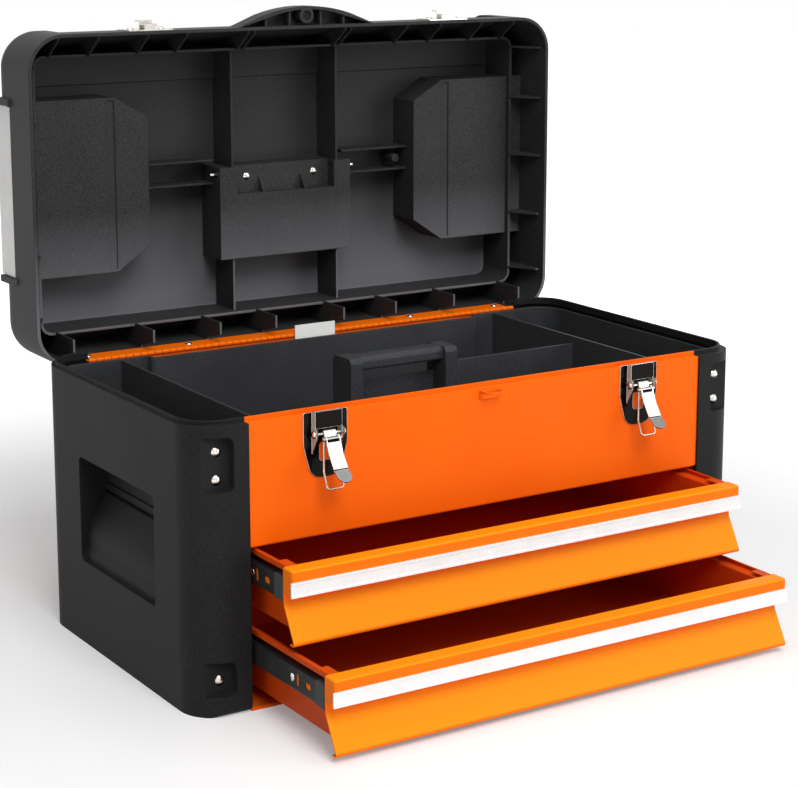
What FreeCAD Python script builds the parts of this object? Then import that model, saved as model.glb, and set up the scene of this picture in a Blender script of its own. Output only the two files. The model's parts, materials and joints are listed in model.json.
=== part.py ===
"""Portable tool box: two drawers, a lift-out tray and a hinged lid.

Millimetres. The origin is the centre of the case base, +Z is up, the drawers open towards -Y.
The rest pose has the lid stood open, both drawers part way out and the latches hanging.
"""
import FreeCAD, Part
import math
import os

from FreeCAD import Vector

# Case
case_width = 534.0
case_depth = 289.5
case_height = 229.5
sheet = 1.0
overrun = 5.0
fit_gap = 0.05
same_point = 0.0005

# End caps
cap_span = 47.0
cap_wall = 3.0
cap_corner = 31.0
cap_proud = 1.5
cap_front_foot_round = 7.0
cap_rear_foot_round = 20.0
tongue_height = 3.5
tongue_wall = 2.0
tongue_gap = 0.5

# Hand grips in the end caps
grip_front = 68.9
grip_width = 141.8
grip_bottom = 72.7
grip_height = 89.9
grip_depth = 26.0
grip_wall = 2.5
grip_mouth_round = 5.0
grip_sill_share = 0.16
grip_curve_shares = ((0.20, 0.10), (0.45, 0.26), (0.80, 0.46), (1.0, 0.72))

# Rivet pockets in the end caps
pocket_inset = 13.0
pocket_floor = 8.2
pocket_round = 6.0
pocket_skin = 1.5
pocket_upper_drops = (51.2, 8.6)
pocket_lower_span = (15.9, 43.7)
rivet_inset = 24.0
rivet_upper_drops = (20.5, 42.5)
rivet_lower_height = 28.0
rivet_head = 4.2
rivet_dome = 2.0
rivet_shank = 2.0
rivet_tail = 3.0
rivet_tail_height = 1.0
flange_reach = 33.0
rear_wing = 15.0
rear_rivet_inset = 8.0

# Steel case
front_lip = 2.4
deck_height = 132.2
rear_recess = 3.0
rear_drop = 7.3
front_top_drop = 0.5
panel_foot = 7.0

# Lid, drawn in the open position
lid_overhang = 1.0
lid_depth = 82.0
lid_wall = 3.0
lid_gap = 1.0
lid_front_inset = 2.5
lid_rear_inset = 0.5
lid_corner = 32.0
lid_shoulder = 26.0
slope_inset = 40.0
slope_start = 27.0
slope_drop = 19.0
liner_inset = 20.4
liner_low = 23.5
liner_high = 22.5
liner_wall = 2.5
liner_edge = 36.0
liner_corner = 9.0
rib_wall = 2.0
end_rib_edge = 8.0
cross_rib_edge = 12.0
cross_rib_shares = (0.1754, 0.1978, 0.4254, 0.5653, 0.7388, 0.8769)
hinge_fin_shares = (0.1343, 0.347, 0.5933, 0.8769)
end_rib_places = (36.8, 92.0, 149.7, 206.0, 254.7)
tall_rib_place = 55.0
tall_rib_edge = 44.0
fin_lip = 11.4
fin_notch_depth = 24.0
floor_step = 235.0

# Organizers in the lid ends
organizer_width = 128.0
bulge_low = 70.6
bulge_high = 225.5
bulge_front = 42.0
bulge_wall = 2.5
bulge_chamfer_x = 32.0
bulge_chamfer_low = 21.4
bulge_chamfer_high = 18.5
groove_width = 8.0
groove_depth = 1.2
organizer_rib_places = (122.0, 174.0)
organizer_rib_edge = 8.0
cover_gap = 0.8
cover_swing = 8.5
cover_wall = 2.0
cover_drop = 1.0
cover_round = 8.0
cover_pin_radius = 1.2
cover_pin_inset = 7.5
cover_pin_drop = 5.0
cover_barrel = 3.0
cover_pin_length = 13.0
lug_proud = 2.5
lug_height = 6.5
lug_depth = 31.0

# Carry handle well and handle
well_half = 69.0
well_low = 71.5
well_high = 156.0
well_wall = 2.5
well_cap_wall = 2.0
notch_half = 51.3
notch_low = 131.0
notch_front = 54.0
notch_rib = 22.0
rod_radius = 2.2
rod_half = 75.7
rod_height = 149.5
rod_front = 50.0
handle_arm = 9.6
handle_arm_gap = 1.2
handle_boss = 4.0
handle_reach = 63.5
handle_rise = 19.0
handle_grip_high = 19.0
handle_grip_deep = 13.0
handle_grip_round = 5.0
well_screw_place = 35.6
well_screw_height = 145.5
channel_low = 141.0
channel_high = 162.0
channel_edge = 56.0
boss_inset = 12.0
boss_radius = 4.0

# Padlock tab on the lid front
tab_half = 70.0
tab_rise = 17.0
tab_shoulder_share = 0.58
tab_shoulder_place = 45.0
tab_near = 1.0
tab_deep = 18.0
tab_wall = 3.0
tab_hole = 4.5
tab_hole_rise = 8.7
tab_boss = 7.0
tab_rib_places = (-40.0, -16.0, 16.0, 40.0)

# Lid hinge
pin_rim = 6.0
pin_cover = 4.5
pin_radius = 1.1
barrel_radius = 2.0
hinge_overlap = 4.5
knuckle_count = 64
knuckle_gap = 0.25
leaf_plate = 1.0
leaf_clear = 0.3
body_leaf_drop = 18.5
lid_leaf_reach = 27.0
lid_leaf_rise = 1.5
relief_gap = 0.1
leaf_screw_shares = (0.526, 0.962)
leaf_screw_reach = 20.0
leaf_rivet_shares = (0.0, 0.3118, 0.6236, 0.9354)
leaf_rivet_drop = 12.0
small_rivet_head = 2.6
small_rivet_dome = 1.3
small_rivet_shank = 1.5
centre_plate_half = 21.0
centre_plate_low = 5.5
centre_plate_high = 9.5
centre_plate_stand = 3.2
centre_plate_wall = 1.2

# Small screws
screw_head = 3.4
screw_head_height = 1.8
screw_shank = 1.4
screw_length = 2.6
screw_slot = 0.9
screw_slot_depth = 0.8

# Latches
latch_share = 0.69727
latch_half = 19.5
latch_top = 2.0
latch_waist = 24.3
latch_bottom = 50.5
latch_bottom_half = 12.5
latch_bottom_round = 11.0
latch_plate = 1.2
latch_window = (5.5, 23.0, 37.0)
bridge_half = 12.0
bridge_drop = 10.5
bridge_stand = 6.4
bridge_rise = 3.0
ear_inner = 11.0
ear_reach = 9.0
ear_low = 33.0
latch_pin_stand = 6.0
latch_pin_drop = 15.0
latch_pin_radius = 1.3
latch_pin_half = 14.0
latch_rivet_place = 7.0
lever_half = 6.25
lever_barrel = 3.0
lever_plate = 1.2
lever_offset = 1.0
lever_bend = 31.5
lever_length = 43.0
lever_flick = 3.5
lever_rest = 35.0
cheek_wall = 1.2
cheek_top = 3.4
cheek_stand = 4.6
cheek_low = 9.5
cheek_point = 20.0
bail_pin_stand = 2.5
bail_pin_drop = 5.5
bail_pin_radius = 0.9
bail_wire = 1.6
bail_gap = 0.4
bail_eye = 1.9
bail_eye_width = 1.4
bail_straight = 26.0
bail_length = 38.6
bail_offset = 5.0
bail_bend = 2.8

# Catches on the lid
catch_half = 21.0
catch_start = 2.0
catch_height = 24.0
catch_plate = 1.2
catch_screw_place = 14.5
hook_half = 6.0
hook_height = 12.0
hook_stand = 6.0
hook_lip_stand = 8.5
hook_lip = 8.0

# Padlock staple
staple_half = 9.0
staple_reach = 13.0
staple_wall = 1.5
staple_drop = 1.2
staple_band = 2.2
staple_foot = 6.0
staple_round = 6.0

# Drawers
drawer_pitch = 65.3
drawer_side_gap = 1.3
lip_inset = 1.8
lip_depth = 12.7
lip_drop = 3.1
strip_drop = 8.8
strip_height = 11.7
strip_proud = 1.2
waist_height = 8.6
pull_height = 30.4
hem_out = 4.1
hem_return = 8.0
runner_space = 13.0
box_floor_rise = 6.0
drawer_back_gap = 21.3
box_back_drop = 6.0
flange_width = 5.0
tab_length = 16.0
tab_width = 7.0
upper_out = 60.7
lower_out = 121.4
strip_rib_pitch = 6.0
strip_rib_width = 1.0
strip_rim = 1.6
strip_rib_proud = 0.35

# Drawer runners
runner_drop = 18.45
runner_height = 18.3
runner_wall = 1.2
case_runner_start = 14.0
case_runner_back_gap = 22.0
ball_gap = 2.9
runner_mouth = 2.1
case_runner_mouth = 8.7
ball_inset = 5.7
ball_play = 0.03
cage_gap = 0.12
cage_wall = 0.7
cage_length = 56.0
cage_start = 110.0
cage_balls = 4
cage_inset = 1.5
bumper_length = 13.0
bumper_round = 2.0
runner_screw_head = 4.2
runner_screw_height = 1.9
runner_screw_shank = 2.0
runner_screw_front = 60.5
runner_screw_back = 40.7
oval_place = 38.0
oval_length = 12.0
oval_height = 5.0
slot_place = 53.3
slot_width = 2.4
slot_height = 10.0
case_rivet_front = 26.0
case_rivet_back = 37.0

# Tote tray
tray_gap = 0.8
tray_wall = 2.2
tray_front = 11.0
tray_back_gap = 7.8
tray_back_step = 10.0
tray_step_inset = 91.7
tray_step_round = 8.0
tray_corner = 26.0
tray_sink = 5.0
tray_shelf_width = 25.7
tray_pit = 35.8
tray_seat = 0.2
divider_inset = 40.0
divider_wall = 2.0
cross_place = 147.0
cross_drop = 7.5
web_drop = 14.0
post_inner = 42.0
post_outer = 54.0
post_front = 126.0
post_deep = 30.0
post_rise = 10.0
handle_bar = 12.0
handle_bar_round = 5.0

# Places worked out from the sizes above
case_half = case_width / 2
case_front = -case_depth / 2
case_back = case_depth / 2
bay_half = case_half - cap_span
panel_front = case_front + cap_proud
rear_top = case_height - rear_drop
pocket_spans = (tuple(case_height - drop for drop in pocket_upper_drops), pocket_lower_span)
rivet_heights = tuple(case_height - drop for drop in rivet_upper_drops) + (rivet_lower_height,)
lid_half = case_half + lid_overhang
slope_half = lid_half - slope_inset
liner_half = lid_half - liner_inset
bulge_inner = lid_half - organizer_width
cross_rib_places = tuple(lid_half * share for share in cross_rib_shares)
hinge_fin_places = tuple(lid_half * share for share in hinge_fin_shares)
hinge_half = bay_half + hinge_overlap
leaf_screw_places = tuple(hinge_half * share for share in leaf_screw_shares)
leaf_rivet_places = tuple(hinge_half * share for share in leaf_rivet_shares)
latch_place = bay_half * latch_share
lid_rim_closed = case_height + lid_gap
lid_rear_closed = case_back - lid_rear_inset
lid_front_closed = panel_front + lid_front_inset
lid_length = lid_rear_closed - lid_front_closed
pin_y = lid_rear_closed - pin_cover
pin_z = lid_rim_closed - pin_rim
rim = pin_y + pin_rim
lid_back = rim + lid_depth
lid_low = pin_z - pin_cover
lid_high = lid_low + lid_length
lid_inner_half = lid_half - lid_wall
tongue_half = lid_inner_half - tongue_gap
tongue_front = lid_front_closed + lid_wall + tongue_gap
tongue_corner = lid_corner - lid_wall - tongue_gap
tongue_top = case_height + tongue_height
panel_top = case_height - front_top_drop
rear_face = case_back - rear_recess
wall_outer = bay_half
wall_inner = wall_outer - sheet
runner_outer = wall_inner
drawer_half = bay_half - drawer_side_gap
lip_half = drawer_half - lip_inset
lip_top = deck_height - lip_drop
strip_top = lip_top - strip_drop
strip_bottom = strip_top - strip_height
waist_bottom = strip_bottom - waist_height
hem_bottom = waist_bottom - pull_height
box_half = runner_outer - runner_space
box_bottom = hem_bottom + box_floor_rise
box_start = lip_depth + sheet
inner_depth = rear_face - sheet - panel_front
box_length = inner_depth - drawer_back_gap - box_start
runner_centre = lip_top - runner_drop
runner_screw_places = (runner_screw_front, box_start + box_length - runner_screw_back)
case_runner_end = inner_depth - case_runner_back_gap
case_rivet_places = (case_runner_start + case_rivet_front, case_runner_end - case_rivet_back)
tray_half = tongue_half - tongue_wall - tray_gap
tray_rear_side = rear_face - panel_front - tray_back_gap
tray_rear_middle = tray_rear_side - tray_back_step
tray_step = tray_half - tray_step_inset
tray_deep_half = tray_half - tray_shelf_width
tray_top = case_height - tray_sink
tray_shelf = deck_height + tray_pit
divider_place = tray_deep_half - divider_inset
cross_top = tray_top - cross_drop
web_top = tray_top - web_drop
post_top = tray_top + post_rise


def block(x_span, y_span, z_span):
    """Box between two places on each axis."""
    low = Vector(x_span[0], y_span[0], z_span[0])
    return Part.makeBox(x_span[1] - low.x, y_span[1] - low.y, z_span[1] - low.z, low)


def both(half):
    """Span of a width that is centred on the middle plane."""
    return (-half, half)


def across(places):
    """The places on the right and the same places on the left."""
    return sorted({side * place for place in places for side in (-1, 1)})


def placed(axis, u, v, along=0.0):
    """Point of a section that lies square to the named axis."""
    if axis == "x":
        return Vector(along, u, v)
    if axis == "y":
        return Vector(u, along, v)
    return Vector(u, v, along)


def section(axis, points, along):
    """Closed wire through the points; a third value rounds that corner."""
    count = len(points)
    spots = [placed(axis, point[0], point[1], along) for point in points]
    ends = []
    arcs = []
    for index, point in enumerate(points):
        here = spots[index]
        radius = point[2] if len(point) > 2 else 0
        if not radius:
            ends.append((here, here))
            arcs.append(None)
            continue
        back = (spots[index - 1] - here).normalize()
        ahead = (spots[(index + 1) % count] - here).normalize()
        half = back.getAngle(ahead) / 2
        reach = radius / math.tan(half)
        middle = (back + ahead).normalize()
        bulge = here + middle * (radius / math.sin(half) - radius)
        ends.append((here + back * reach, here + ahead * reach))
        arcs.append(Part.Arc(ends[-1][0], bulge, ends[-1][1]).toShape())
    edges = []
    for index in range(count):
        start = ends[index - 1][1]
        stop = ends[index][0]
        if (stop - start).Length > same_point:
            edges.append(Part.makeLine(start, stop))
        if arcs[index]:
            edges.append(arcs[index])
    return Part.Wire(edges)


def prism(axis, points, low, high):
    """Solid of a section drawn out along the named axis."""
    face = Part.Face(section(axis, points, low))
    return face.extrude(placed(axis, 0, 0, high - low))


def rod(axis, u, v, radius, low, high):
    """Round bar along the named axis."""
    return Part.makeCylinder(radius, high - low, placed(axis, u, v, low), placed(axis, 0, 0, 1))


def dome(axis, u, v, radius, height, base):
    """Low domed head that stands on base; a negative height points the other way."""
    rise = abs(height)
    sphere = (radius * radius + rise * rise) / (2 * rise)
    side = 1 if height > 0 else -1
    centre = placed(axis, u, v, base + side * (rise - sphere))
    latitude = math.degrees(math.asin((sphere - rise) / sphere))
    return Part.makeSphere(sphere, centre, placed(axis, 0, 0, side), latitude, 90, 360)


def joined(shapes):
    """One solid from touching or overlapping ones."""
    first, rest = shapes[0], shapes[1:]
    return first.multiFuse(rest).removeSplitter() if rest else first


def group(shapes):
    """Separate solids of one node."""
    return Part.makeCompound(shapes)


def cut(shape, tools):
    """Shape less every tool."""
    return shape.cut(Part.makeCompound(tools)) if tools else shape


def mirrored(shape):
    """The same piece for the left side."""
    return shape.mirror(Vector(0, 0, 0), Vector(1, 0, 0))


def strip_path(axis, path, thickness, low, high):
    """Bent sheet: the path offset to its left by the thickness, drawn out along the axis."""
    offset = []
    for index, (u, v) in enumerate(path):
        normals = []
        if index > 0:
            before = path[index - 1]
            length = math.hypot(u - before[0], v - before[1])
            normals.append((-(v - before[1]) / length, (u - before[0]) / length))
        if index < len(path) - 1:
            after = path[index + 1]
            length = math.hypot(after[0] - u, after[1] - v)
            normals.append((-(after[1] - v) / length, (after[0] - u) / length))
        if len(normals) == 1:
            offset.append((u + normals[0][0] * thickness, v + normals[0][1] * thickness))
            continue
        mix = (normals[0][0] + normals[1][0], normals[0][1] + normals[1][1])
        scale = 2 * thickness / (mix[0] ** 2 + mix[1] ** 2)
        offset.append((u + mix[0] * scale, v + mix[1] * scale))
    return prism(axis, list(path) + offset[::-1], low, high)


def bent_wire(points, radius, bend):
    """Round wire along the points, with every corner bent to the same inner line."""
    edges = []
    start = points[0]
    for before, here, after in zip(points, points[1:], points[2:]):
        back = (before - here).normalize()
        ahead = (after - here).normalize()
        half = back.getAngle(ahead) / 2
        entry = here + back * (bend / math.tan(half))
        leave = here + ahead * (bend / math.tan(half))
        middle = here + (back + ahead).normalize() * (bend / math.sin(half) - bend)
        edges.append(Part.makeLine(start, entry))
        edges.append(Part.Arc(entry, middle, leave).toShape())
        start = leave
    edges.append(Part.makeLine(start, points[-1]))
    ring = Part.Wire(Part.makeCircle(radius, points[0], points[1] - points[0]))
    return Part.Wire(edges).makePipeShell([ring], True, False)


def cap_form(inset):
    """Outer form of the right end cap, drawn in by inset."""
    corner = cap_corner - inset
    inner = bay_half - (overrun if inset else 0)
    plan = prism("z", [
        (inner, case_front + inset),
        (case_half - inset, case_front + inset, corner),
        (case_half - inset, case_back - inset, corner),
        (inner, case_back - inset)], inset, case_height - inset)
    elevation = prism("x", [
        (case_front + inset, inset, cap_front_foot_round - inset),
        (case_back - inset, inset, cap_rear_foot_round - inset),
        (case_back - inset, case_height - inset),
        (case_front + inset, case_height - inset)], inner, case_half - inset)
    return plan.common(elevation)


def tongue_form(inset, low, high):
    """Upright band that the lid closes over, right side."""
    corner = tongue_corner - inset
    return prism("z", [
        (bay_half - (overrun if inset else 0), tongue_front + inset),
        (tongue_half - inset, tongue_front + inset, corner),
        (tongue_half - inset, pin_y - inset, corner),
        (bay_half - (overrun if inset else 0), pin_y - inset)], low, high)


def grip_form(wall):
    """Space of the hand grip, or with a wall the housing round it."""
    front = panel_front + grip_front - wall
    back = panel_front + grip_front + grip_width + wall
    low = grip_bottom - wall
    top = grip_bottom + grip_height + wall
    face = case_half - (cap_wall - grip_wall if wall else -overrun)
    points = [Vector(case_half - grip_depth * grip_sill_share - wall, front, low)]
    for depth_share, height_share in grip_curve_shares:
        points.append(Vector(case_half - grip_depth * depth_share - wall, front,
                             grip_bottom + grip_height * height_share))
    curve = Part.BSplineCurve()
    curve.interpolate(points)
    top_inner = Vector(case_half - grip_depth - wall, front, top)
    edges = [curve.toShape(),
             Part.makeLine(points[-1], top_inner),
             Part.makeLine(top_inner, Vector(face, front, top)),
             Part.makeLine(Vector(face, front, top), Vector(face, front, low)),
             Part.makeLine(Vector(face, front, low), points[0])]
    solid = Part.Face(Part.Wire(edges)).extrude(Vector(0, back - front, 0))
    frame = prism("x", [
        (front, low, grip_mouth_round + wall),
        (back, low, grip_mouth_round + wall),
        (back, top, grip_mouth_round + wall),
        (front, top, grip_mouth_round + wall)], bay_half, case_half + overrun)
    return solid.common(frame)


def rivet_spots():
    """Places of the cap rivets: x, z for the front and for the rear."""
    front = [(bay_half + rivet_inset, height) for height in rivet_heights]
    rear = [(bay_half + rear_rivet_inset, height) for height in rivet_heights]
    return front, rear


def end_cap():
    """Right end cap: moulded shell with tongue, rivet pockets and hand grip."""
    outer = cap_form(0)
    shell = outer.cut(cap_form(cap_wall))
    ledge = case_height - cap_wall
    shell = shell.cut(tongue_form(tongue_wall, ledge - overrun, case_height + overrun))
    tongue = tongue_form(0, ledge, tongue_top)
    tongue = tongue.cut(tongue_form(tongue_wall, ledge - overrun, tongue_top + overrun))
    pieces = [shell, tongue, grip_form(grip_wall).common(outer)]
    cuts = [grip_form(0)]
    floor = panel_front + pocket_floor
    for low, high in pocket_spans:
        well = block((bay_half + pocket_inset - pocket_skin, case_half),
                     (case_front, floor), (low - pocket_skin, high + pocket_skin))
        pieces.append(well.common(outer))
        cuts.append(prism("y", [
            (bay_half + pocket_inset, low, pocket_round),
            (case_half + overrun, low),
            (case_half + overrun, high),
            (bay_half + pocket_inset, high, pocket_round)],
            case_front - overrun, floor - pocket_skin))
    front, rear = rivet_spots()
    hole = rivet_shank + fit_gap
    for x, z in front:
        cuts.append(rod("y", x, z, hole, case_front, floor + overrun))
    for x, z in rear:
        cuts.append(rod("y", x, z, hole, rear_face - overrun, case_back + overrun))
    hinge_slot = hinge_half + lid_gap
    cuts.append(block((bay_half - overrun, hinge_slot),
                      (pin_y - barrel_radius - lid_gap, case_back + overrun),
                      (rear_top - sheet, tongue_top + overrun)))
    quadrant = block((bay_half - overrun, case_half + overrun),
                     (pin_y, case_back + overrun), (pin_z, tongue_top + overrun))
    swing = rod("x", pin_y, pin_z, pin_rim - relief_gap, bay_half - overrun, case_half + overrun)
    cuts.append(quadrant.cut(swing))
    return cut(joined(pieces), cuts)


def cap_rivets():
    """Domed rivets that hold the caps to the steel case."""
    front, rear = rivet_spots()
    head = panel_front + pocket_floor - pocket_skin
    tail = panel_front + pocket_floor + sheet
    rivets = []
    for x, z in front:
        rivets.append(joined([
            dome("y", x, z, rivet_head, -rivet_dome, head),
            rod("y", x, z, rivet_shank, head, tail),
            rod("y", x, z, rivet_tail, tail, tail + rivet_tail_height)]))
    inner = rear_face - sheet
    for x, z in rear:
        rivets.append(joined([
            dome("y", x, z, rivet_head, rivet_dome - lid_rear_inset, case_back),
            rod("y", x, z, rivet_shank, inner, case_back),
            rod("y", x, z, rivet_tail, inner - rivet_tail_height, inner)]))
    return group(rivets + [mirrored(rivet) for rivet in rivets])


def case_shell():
    """Steel bottom, sides, deck and front flanges in one folded piece."""
    back = rear_face - sheet
    flange = panel_front + pocket_floor
    pieces = [
        block(both(wall_outer), (panel_front, back), (0, sheet)),
        block(both(wall_outer), (panel_front, panel_front + sheet), (0, front_lip)),
        block(both(wall_outer), (panel_front + sheet, back), (deck_height - sheet, deck_height))]
    reach = bay_half + flange_reach
    for side in (-1, 1):
        wall = sorted((side * wall_inner, side * wall_outer))
        wing = sorted((side * wall_inner, side * reach))
        pieces.append(block(wall, (flange, back), (0, deck_height)))
        pieces.append(block(wing, (flange, flange + sheet), (cap_wall + sheet, rear_top)))
    front, rear = rivet_spots()
    holes = []
    for x, z in front:
        for side in (-1, 1):
            holes.append(rod("y", side * x, z, rivet_shank + fit_gap,
                             flange - sheet, flange + 2 * sheet))
    for side in (-1, 1):
        for centre in (runner_centre, runner_centre - drawer_pitch):
            for place in case_rivet_places:
                low, high = sorted((side * (wall_inner - sheet), side * (wall_outer + sheet)))
                holes.append(rod("x", panel_front + place, centre,
                                 screw_shank + fit_gap, low, high))
    return cut(joined(pieces), holes)


def front_panel():
    """Upper front panel with side returns, a foot on the deck and a folded top edge."""
    half = bay_half - fit_gap
    back = panel_front + pocket_floor
    upstand = tongue_front
    pieces = [
        block(both(half), (panel_front, panel_front + sheet), (deck_height, panel_top)),
        block(both(half), (panel_front, upstand + sheet), (panel_top - sheet, panel_top)),
        block(both(half), (upstand, upstand + sheet), (panel_top - sheet, tongue_top)),
        block(both(half), (panel_front, panel_front + panel_foot), (deck_height, deck_height + sheet))]
    for side in (-1, 1):
        wall = sorted((side * half, side * (half - sheet)))
        pieces.append(block(wall, (panel_front, back), (deck_height, panel_top)))
    cuts = []
    for latch in (-latch_place, latch_place):
        for x in (latch - latch_rivet_place, latch + latch_rivet_place):
            cuts.append(rod("y", x, latch_rivet_height(), small_rivet_shank + fit_gap,
                            panel_front - sheet, panel_front + 2 * sheet))
    return cut(joined(pieces), cuts)


def back_panel():
    """Steel back with wings behind the end caps."""
    plate = (rear_face - sheet, rear_face)
    wing_low = cap_rear_foot_round + cap_wall
    panel = joined([block(both(bay_half), plate, (0, rear_top)),
                    block(both(bay_half + rear_wing), plate, (wing_low, rear_top))])
    holes = []
    for x, z in rivet_spots()[1]:
        for side in (-1, 1):
            holes.append(rod("y", side * x, z, rivet_shank + fit_gap,
                             rear_face - 2 * sheet, rear_face + sheet))
    for x in across(leaf_rivet_places):
        holes.append(rod("y", x, pin_z - leaf_rivet_drop, small_rivet_shank + fit_gap,
                         rear_face - 2 * sheet, rear_face + sheet))
    return cut(panel, holes)


def lock_staple():
    """Loop that the padlock passes through, welded to the front panel."""
    top = panel_top - staple_drop
    low = top - staple_wall
    tip = panel_front - staple_reach
    loop = prism("z", [
        (-staple_half, panel_front),
        (-staple_half, tip, staple_round),
        (staple_half, tip, staple_round),
        (staple_half, panel_front)], low, top)
    inner_half = staple_half - staple_band
    inner_round = staple_round - staple_band
    hole = prism("z", [
        (-inner_half, panel_front - staple_band),
        (-inner_half, tip + staple_band, inner_round),
        (inner_half, tip + staple_band, inner_round),
        (inner_half, panel_front - staple_band)], low - overrun, top + overrun)
    foot = block(both(staple_half), (panel_front - staple_wall, panel_front),
                 (low - staple_foot, top))
    return joined([loop.cut(hole), foot])


def knuckle_spans(first):
    """Spans of every second knuckle, from the first one given."""
    pitch = 2 * hinge_half / knuckle_count
    spans = []
    for index in range(first, knuckle_count, 2):
        start = -hinge_half + index * pitch
        spans.append((start + knuckle_gap, start + pitch - knuckle_gap))
    return spans


def pin_bore():
    """Bore along the lid hinge."""
    return rod("x", pin_y, pin_z, pin_radius + fit_gap,
               -hinge_half - overrun, hinge_half + overrun)


def hinge_body_leaf():
    """Leaf inside the back panel with every other knuckle."""
    plate = (rear_face - sheet - leaf_plate, rear_face - sheet)
    top = pin_z - barrel_radius - leaf_clear
    pieces = [block(both(hinge_half), plate, (pin_z - body_leaf_drop, top))]
    for span in knuckle_spans(0):
        pieces.append(rod("x", pin_y, pin_z, barrel_radius, *span))
        pieces.append(block(span, plate, (top - sheet, pin_z)))
    cuts = [pin_bore()]
    for x in across(leaf_rivet_places):
        cuts.append(rod("y", x, pin_z - leaf_rivet_drop, small_rivet_shank + fit_gap,
                        plate[0] - sheet, plate[1] + sheet))
    return cut(joined(pieces), cuts)


def hinge_lid_leaf():
    """Leaf on the lid wall with the other knuckles."""
    low = lid_low + lid_wall
    plate = (low, low + leaf_plate)
    start = pin_y + barrel_radius + leaf_clear
    pieces = [block(both(hinge_half), (start, pin_y + lid_leaf_reach + lid_leaf_rise), plate)]
    for span in knuckle_spans(1):
        pieces.append(rod("x", pin_y, pin_z, barrel_radius, *span))
        pieces.append(block(span, (pin_y, start + sheet), plate))
    cuts = [pin_bore()]
    for x in across(leaf_screw_places):
        cuts.append(rod("z", x, pin_y + leaf_screw_reach, screw_shank + fit_gap,
                        low - sheet, low + leaf_plate + sheet))
    return cut(joined(pieces), cuts)


def hinge_pin():
    """Long pin of the lid hinge."""
    return rod("x", pin_y, pin_z, pin_radius, -hinge_half, hinge_half)


def hinge_rivets():
    """Rivets through the body leaf and the back panel."""
    inner = rear_face - sheet - leaf_plate
    z = pin_z - leaf_rivet_drop
    rivets = []
    for x in across(leaf_rivet_places):
        rivets.append(joined([
            dome("y", x, z, small_rivet_head, -small_rivet_dome, inner),
            rod("y", x, z, small_rivet_shank, inner, rear_face),
            dome("y", x, z, small_rivet_head, small_rivet_dome, rear_face)]))
    return group(rivets)


def hinge_centre_plate():
    """Bright bent plate at the middle of the hinge, footed on the body leaf."""
    leaf = rear_face - sheet - leaf_plate
    front = leaf - centre_plate_stand
    low = pin_z - centre_plate_low
    upright = block(both(centre_plate_half), (front, front + centre_plate_wall),
                    (low, pin_z + centre_plate_high))
    foot = block(both(centre_plate_half), (front, leaf), (low, low + centre_plate_wall))
    return joined([upright, foot])


def pan_screw(axis, u, v, seat, side, length, head=screw_head, height=screw_head_height,
              shank=screw_shank):
    """Slotted pan screw: the head stands on seat towards side, the shank goes the other way."""
    shank_span = sorted((seat, seat - side * length))
    body = joined([dome(axis, u, v, head, side * height, seat),
                   rod(axis, u, v, shank, *shank_span)])
    top = seat + side * height
    slot_span = sorted((top - side * screw_slot_depth, top + side * overrun))
    half = screw_slot / 2
    slot = prism(axis, [(u - head, v - half), (u + head, v - half),
                        (u + head, v + half), (u - head, v + half)], *slot_span)
    return body.cut(slot)


def hinge_screws():
    """Screws that hold the lid leaf to the lid."""
    seat = lid_low + lid_wall + leaf_plate
    return group([pan_screw("z", x, pin_y + leaf_screw_reach, seat, 1, leaf_plate + screw_length)
                  for x in across(leaf_screw_places)])


def latch_level(drop):
    """Height of a place on a latch below the top of the front panel."""
    return panel_top - drop


def latch_rivet_height():
    """Height of the latch rivets, behind the bridge."""
    return latch_level(bridge_drop / 2)


def latch_pin_spot():
    """Axis of a latch lever: y, z."""
    return panel_front - latch_pin_stand, latch_level(latch_pin_drop)


def latch_base(side):
    """Pressed base of one latch: plate, bridge and the two ears of the lever pin."""
    centre = side * latch_place
    top = panel_top + latch_top
    face = panel_front - latch_plate
    plate = prism("y", [
        (centre - latch_half, top, latch_top),
        (centre + latch_half, top, latch_top),
        (centre + latch_half, latch_level(latch_waist), latch_bottom_round),
        (centre + latch_bottom_half, latch_level(latch_bottom), latch_bottom_round),
        (centre - latch_bottom_half, latch_level(latch_bottom), latch_bottom_round),
        (centre - latch_half, latch_level(latch_waist), latch_bottom_round)],
        face, panel_front)
    half, high, low = latch_window
    window = prism("y", [
        (centre - half, latch_level(low), latch_top),
        (centre + half, latch_level(low), latch_top),
        (centre + half, latch_level(high), latch_top),
        (centre - half, latch_level(high), latch_top)],
        face - overrun, panel_front + overrun)
    front = panel_front - bridge_stand
    bridge_z = (latch_level(bridge_drop), panel_top + bridge_rise)
    bridge = [block((centre - bridge_half, centre + bridge_half),
                    (front, front + latch_plate), bridge_z)]
    pin_at = latch_pin_spot()
    ears = []
    for hand in (-1, 1):
        wall = sorted((centre + hand * bridge_half, centre + hand * (bridge_half - latch_plate)))
        bridge.append(block(wall, (front, panel_front), (bridge_z[0], top)))
        inner = centre + hand * ear_inner
        ear_span = sorted((inner, inner + hand * latch_plate))
        ears.append(prism("x", [
            (panel_front, bridge_z[0] + latch_plate),
            (panel_front - ear_reach, bridge_z[0] - fit_gap, latch_plate),
            (panel_front - ear_reach, pin_at[1] - lever_barrel, latch_plate),
            (panel_front, latch_level(ear_low))], *ear_span))
    hole = rod("x", pin_at[0], pin_at[1], latch_pin_radius + fit_gap,
               centre - latch_half, centre + latch_half)
    cuts = [window, hole]
    for x in (centre - latch_rivet_place, centre + latch_rivet_place):
        cuts.append(rod("y", x, latch_rivet_height(), small_rivet_shank + fit_gap,
                        face - sheet, panel_front + sheet))
    return cut(joined([plate] + bridge + ears), cuts)


def latch_pins():
    """Pivot pins of the latch levers."""
    y, z = latch_pin_spot()
    pins = []
    for centre in (-latch_place, latch_place):
        pins.append(rod("x", y, z, latch_pin_radius,
                        centre - latch_pin_half, centre + latch_pin_half))
    return group(pins)


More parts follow.
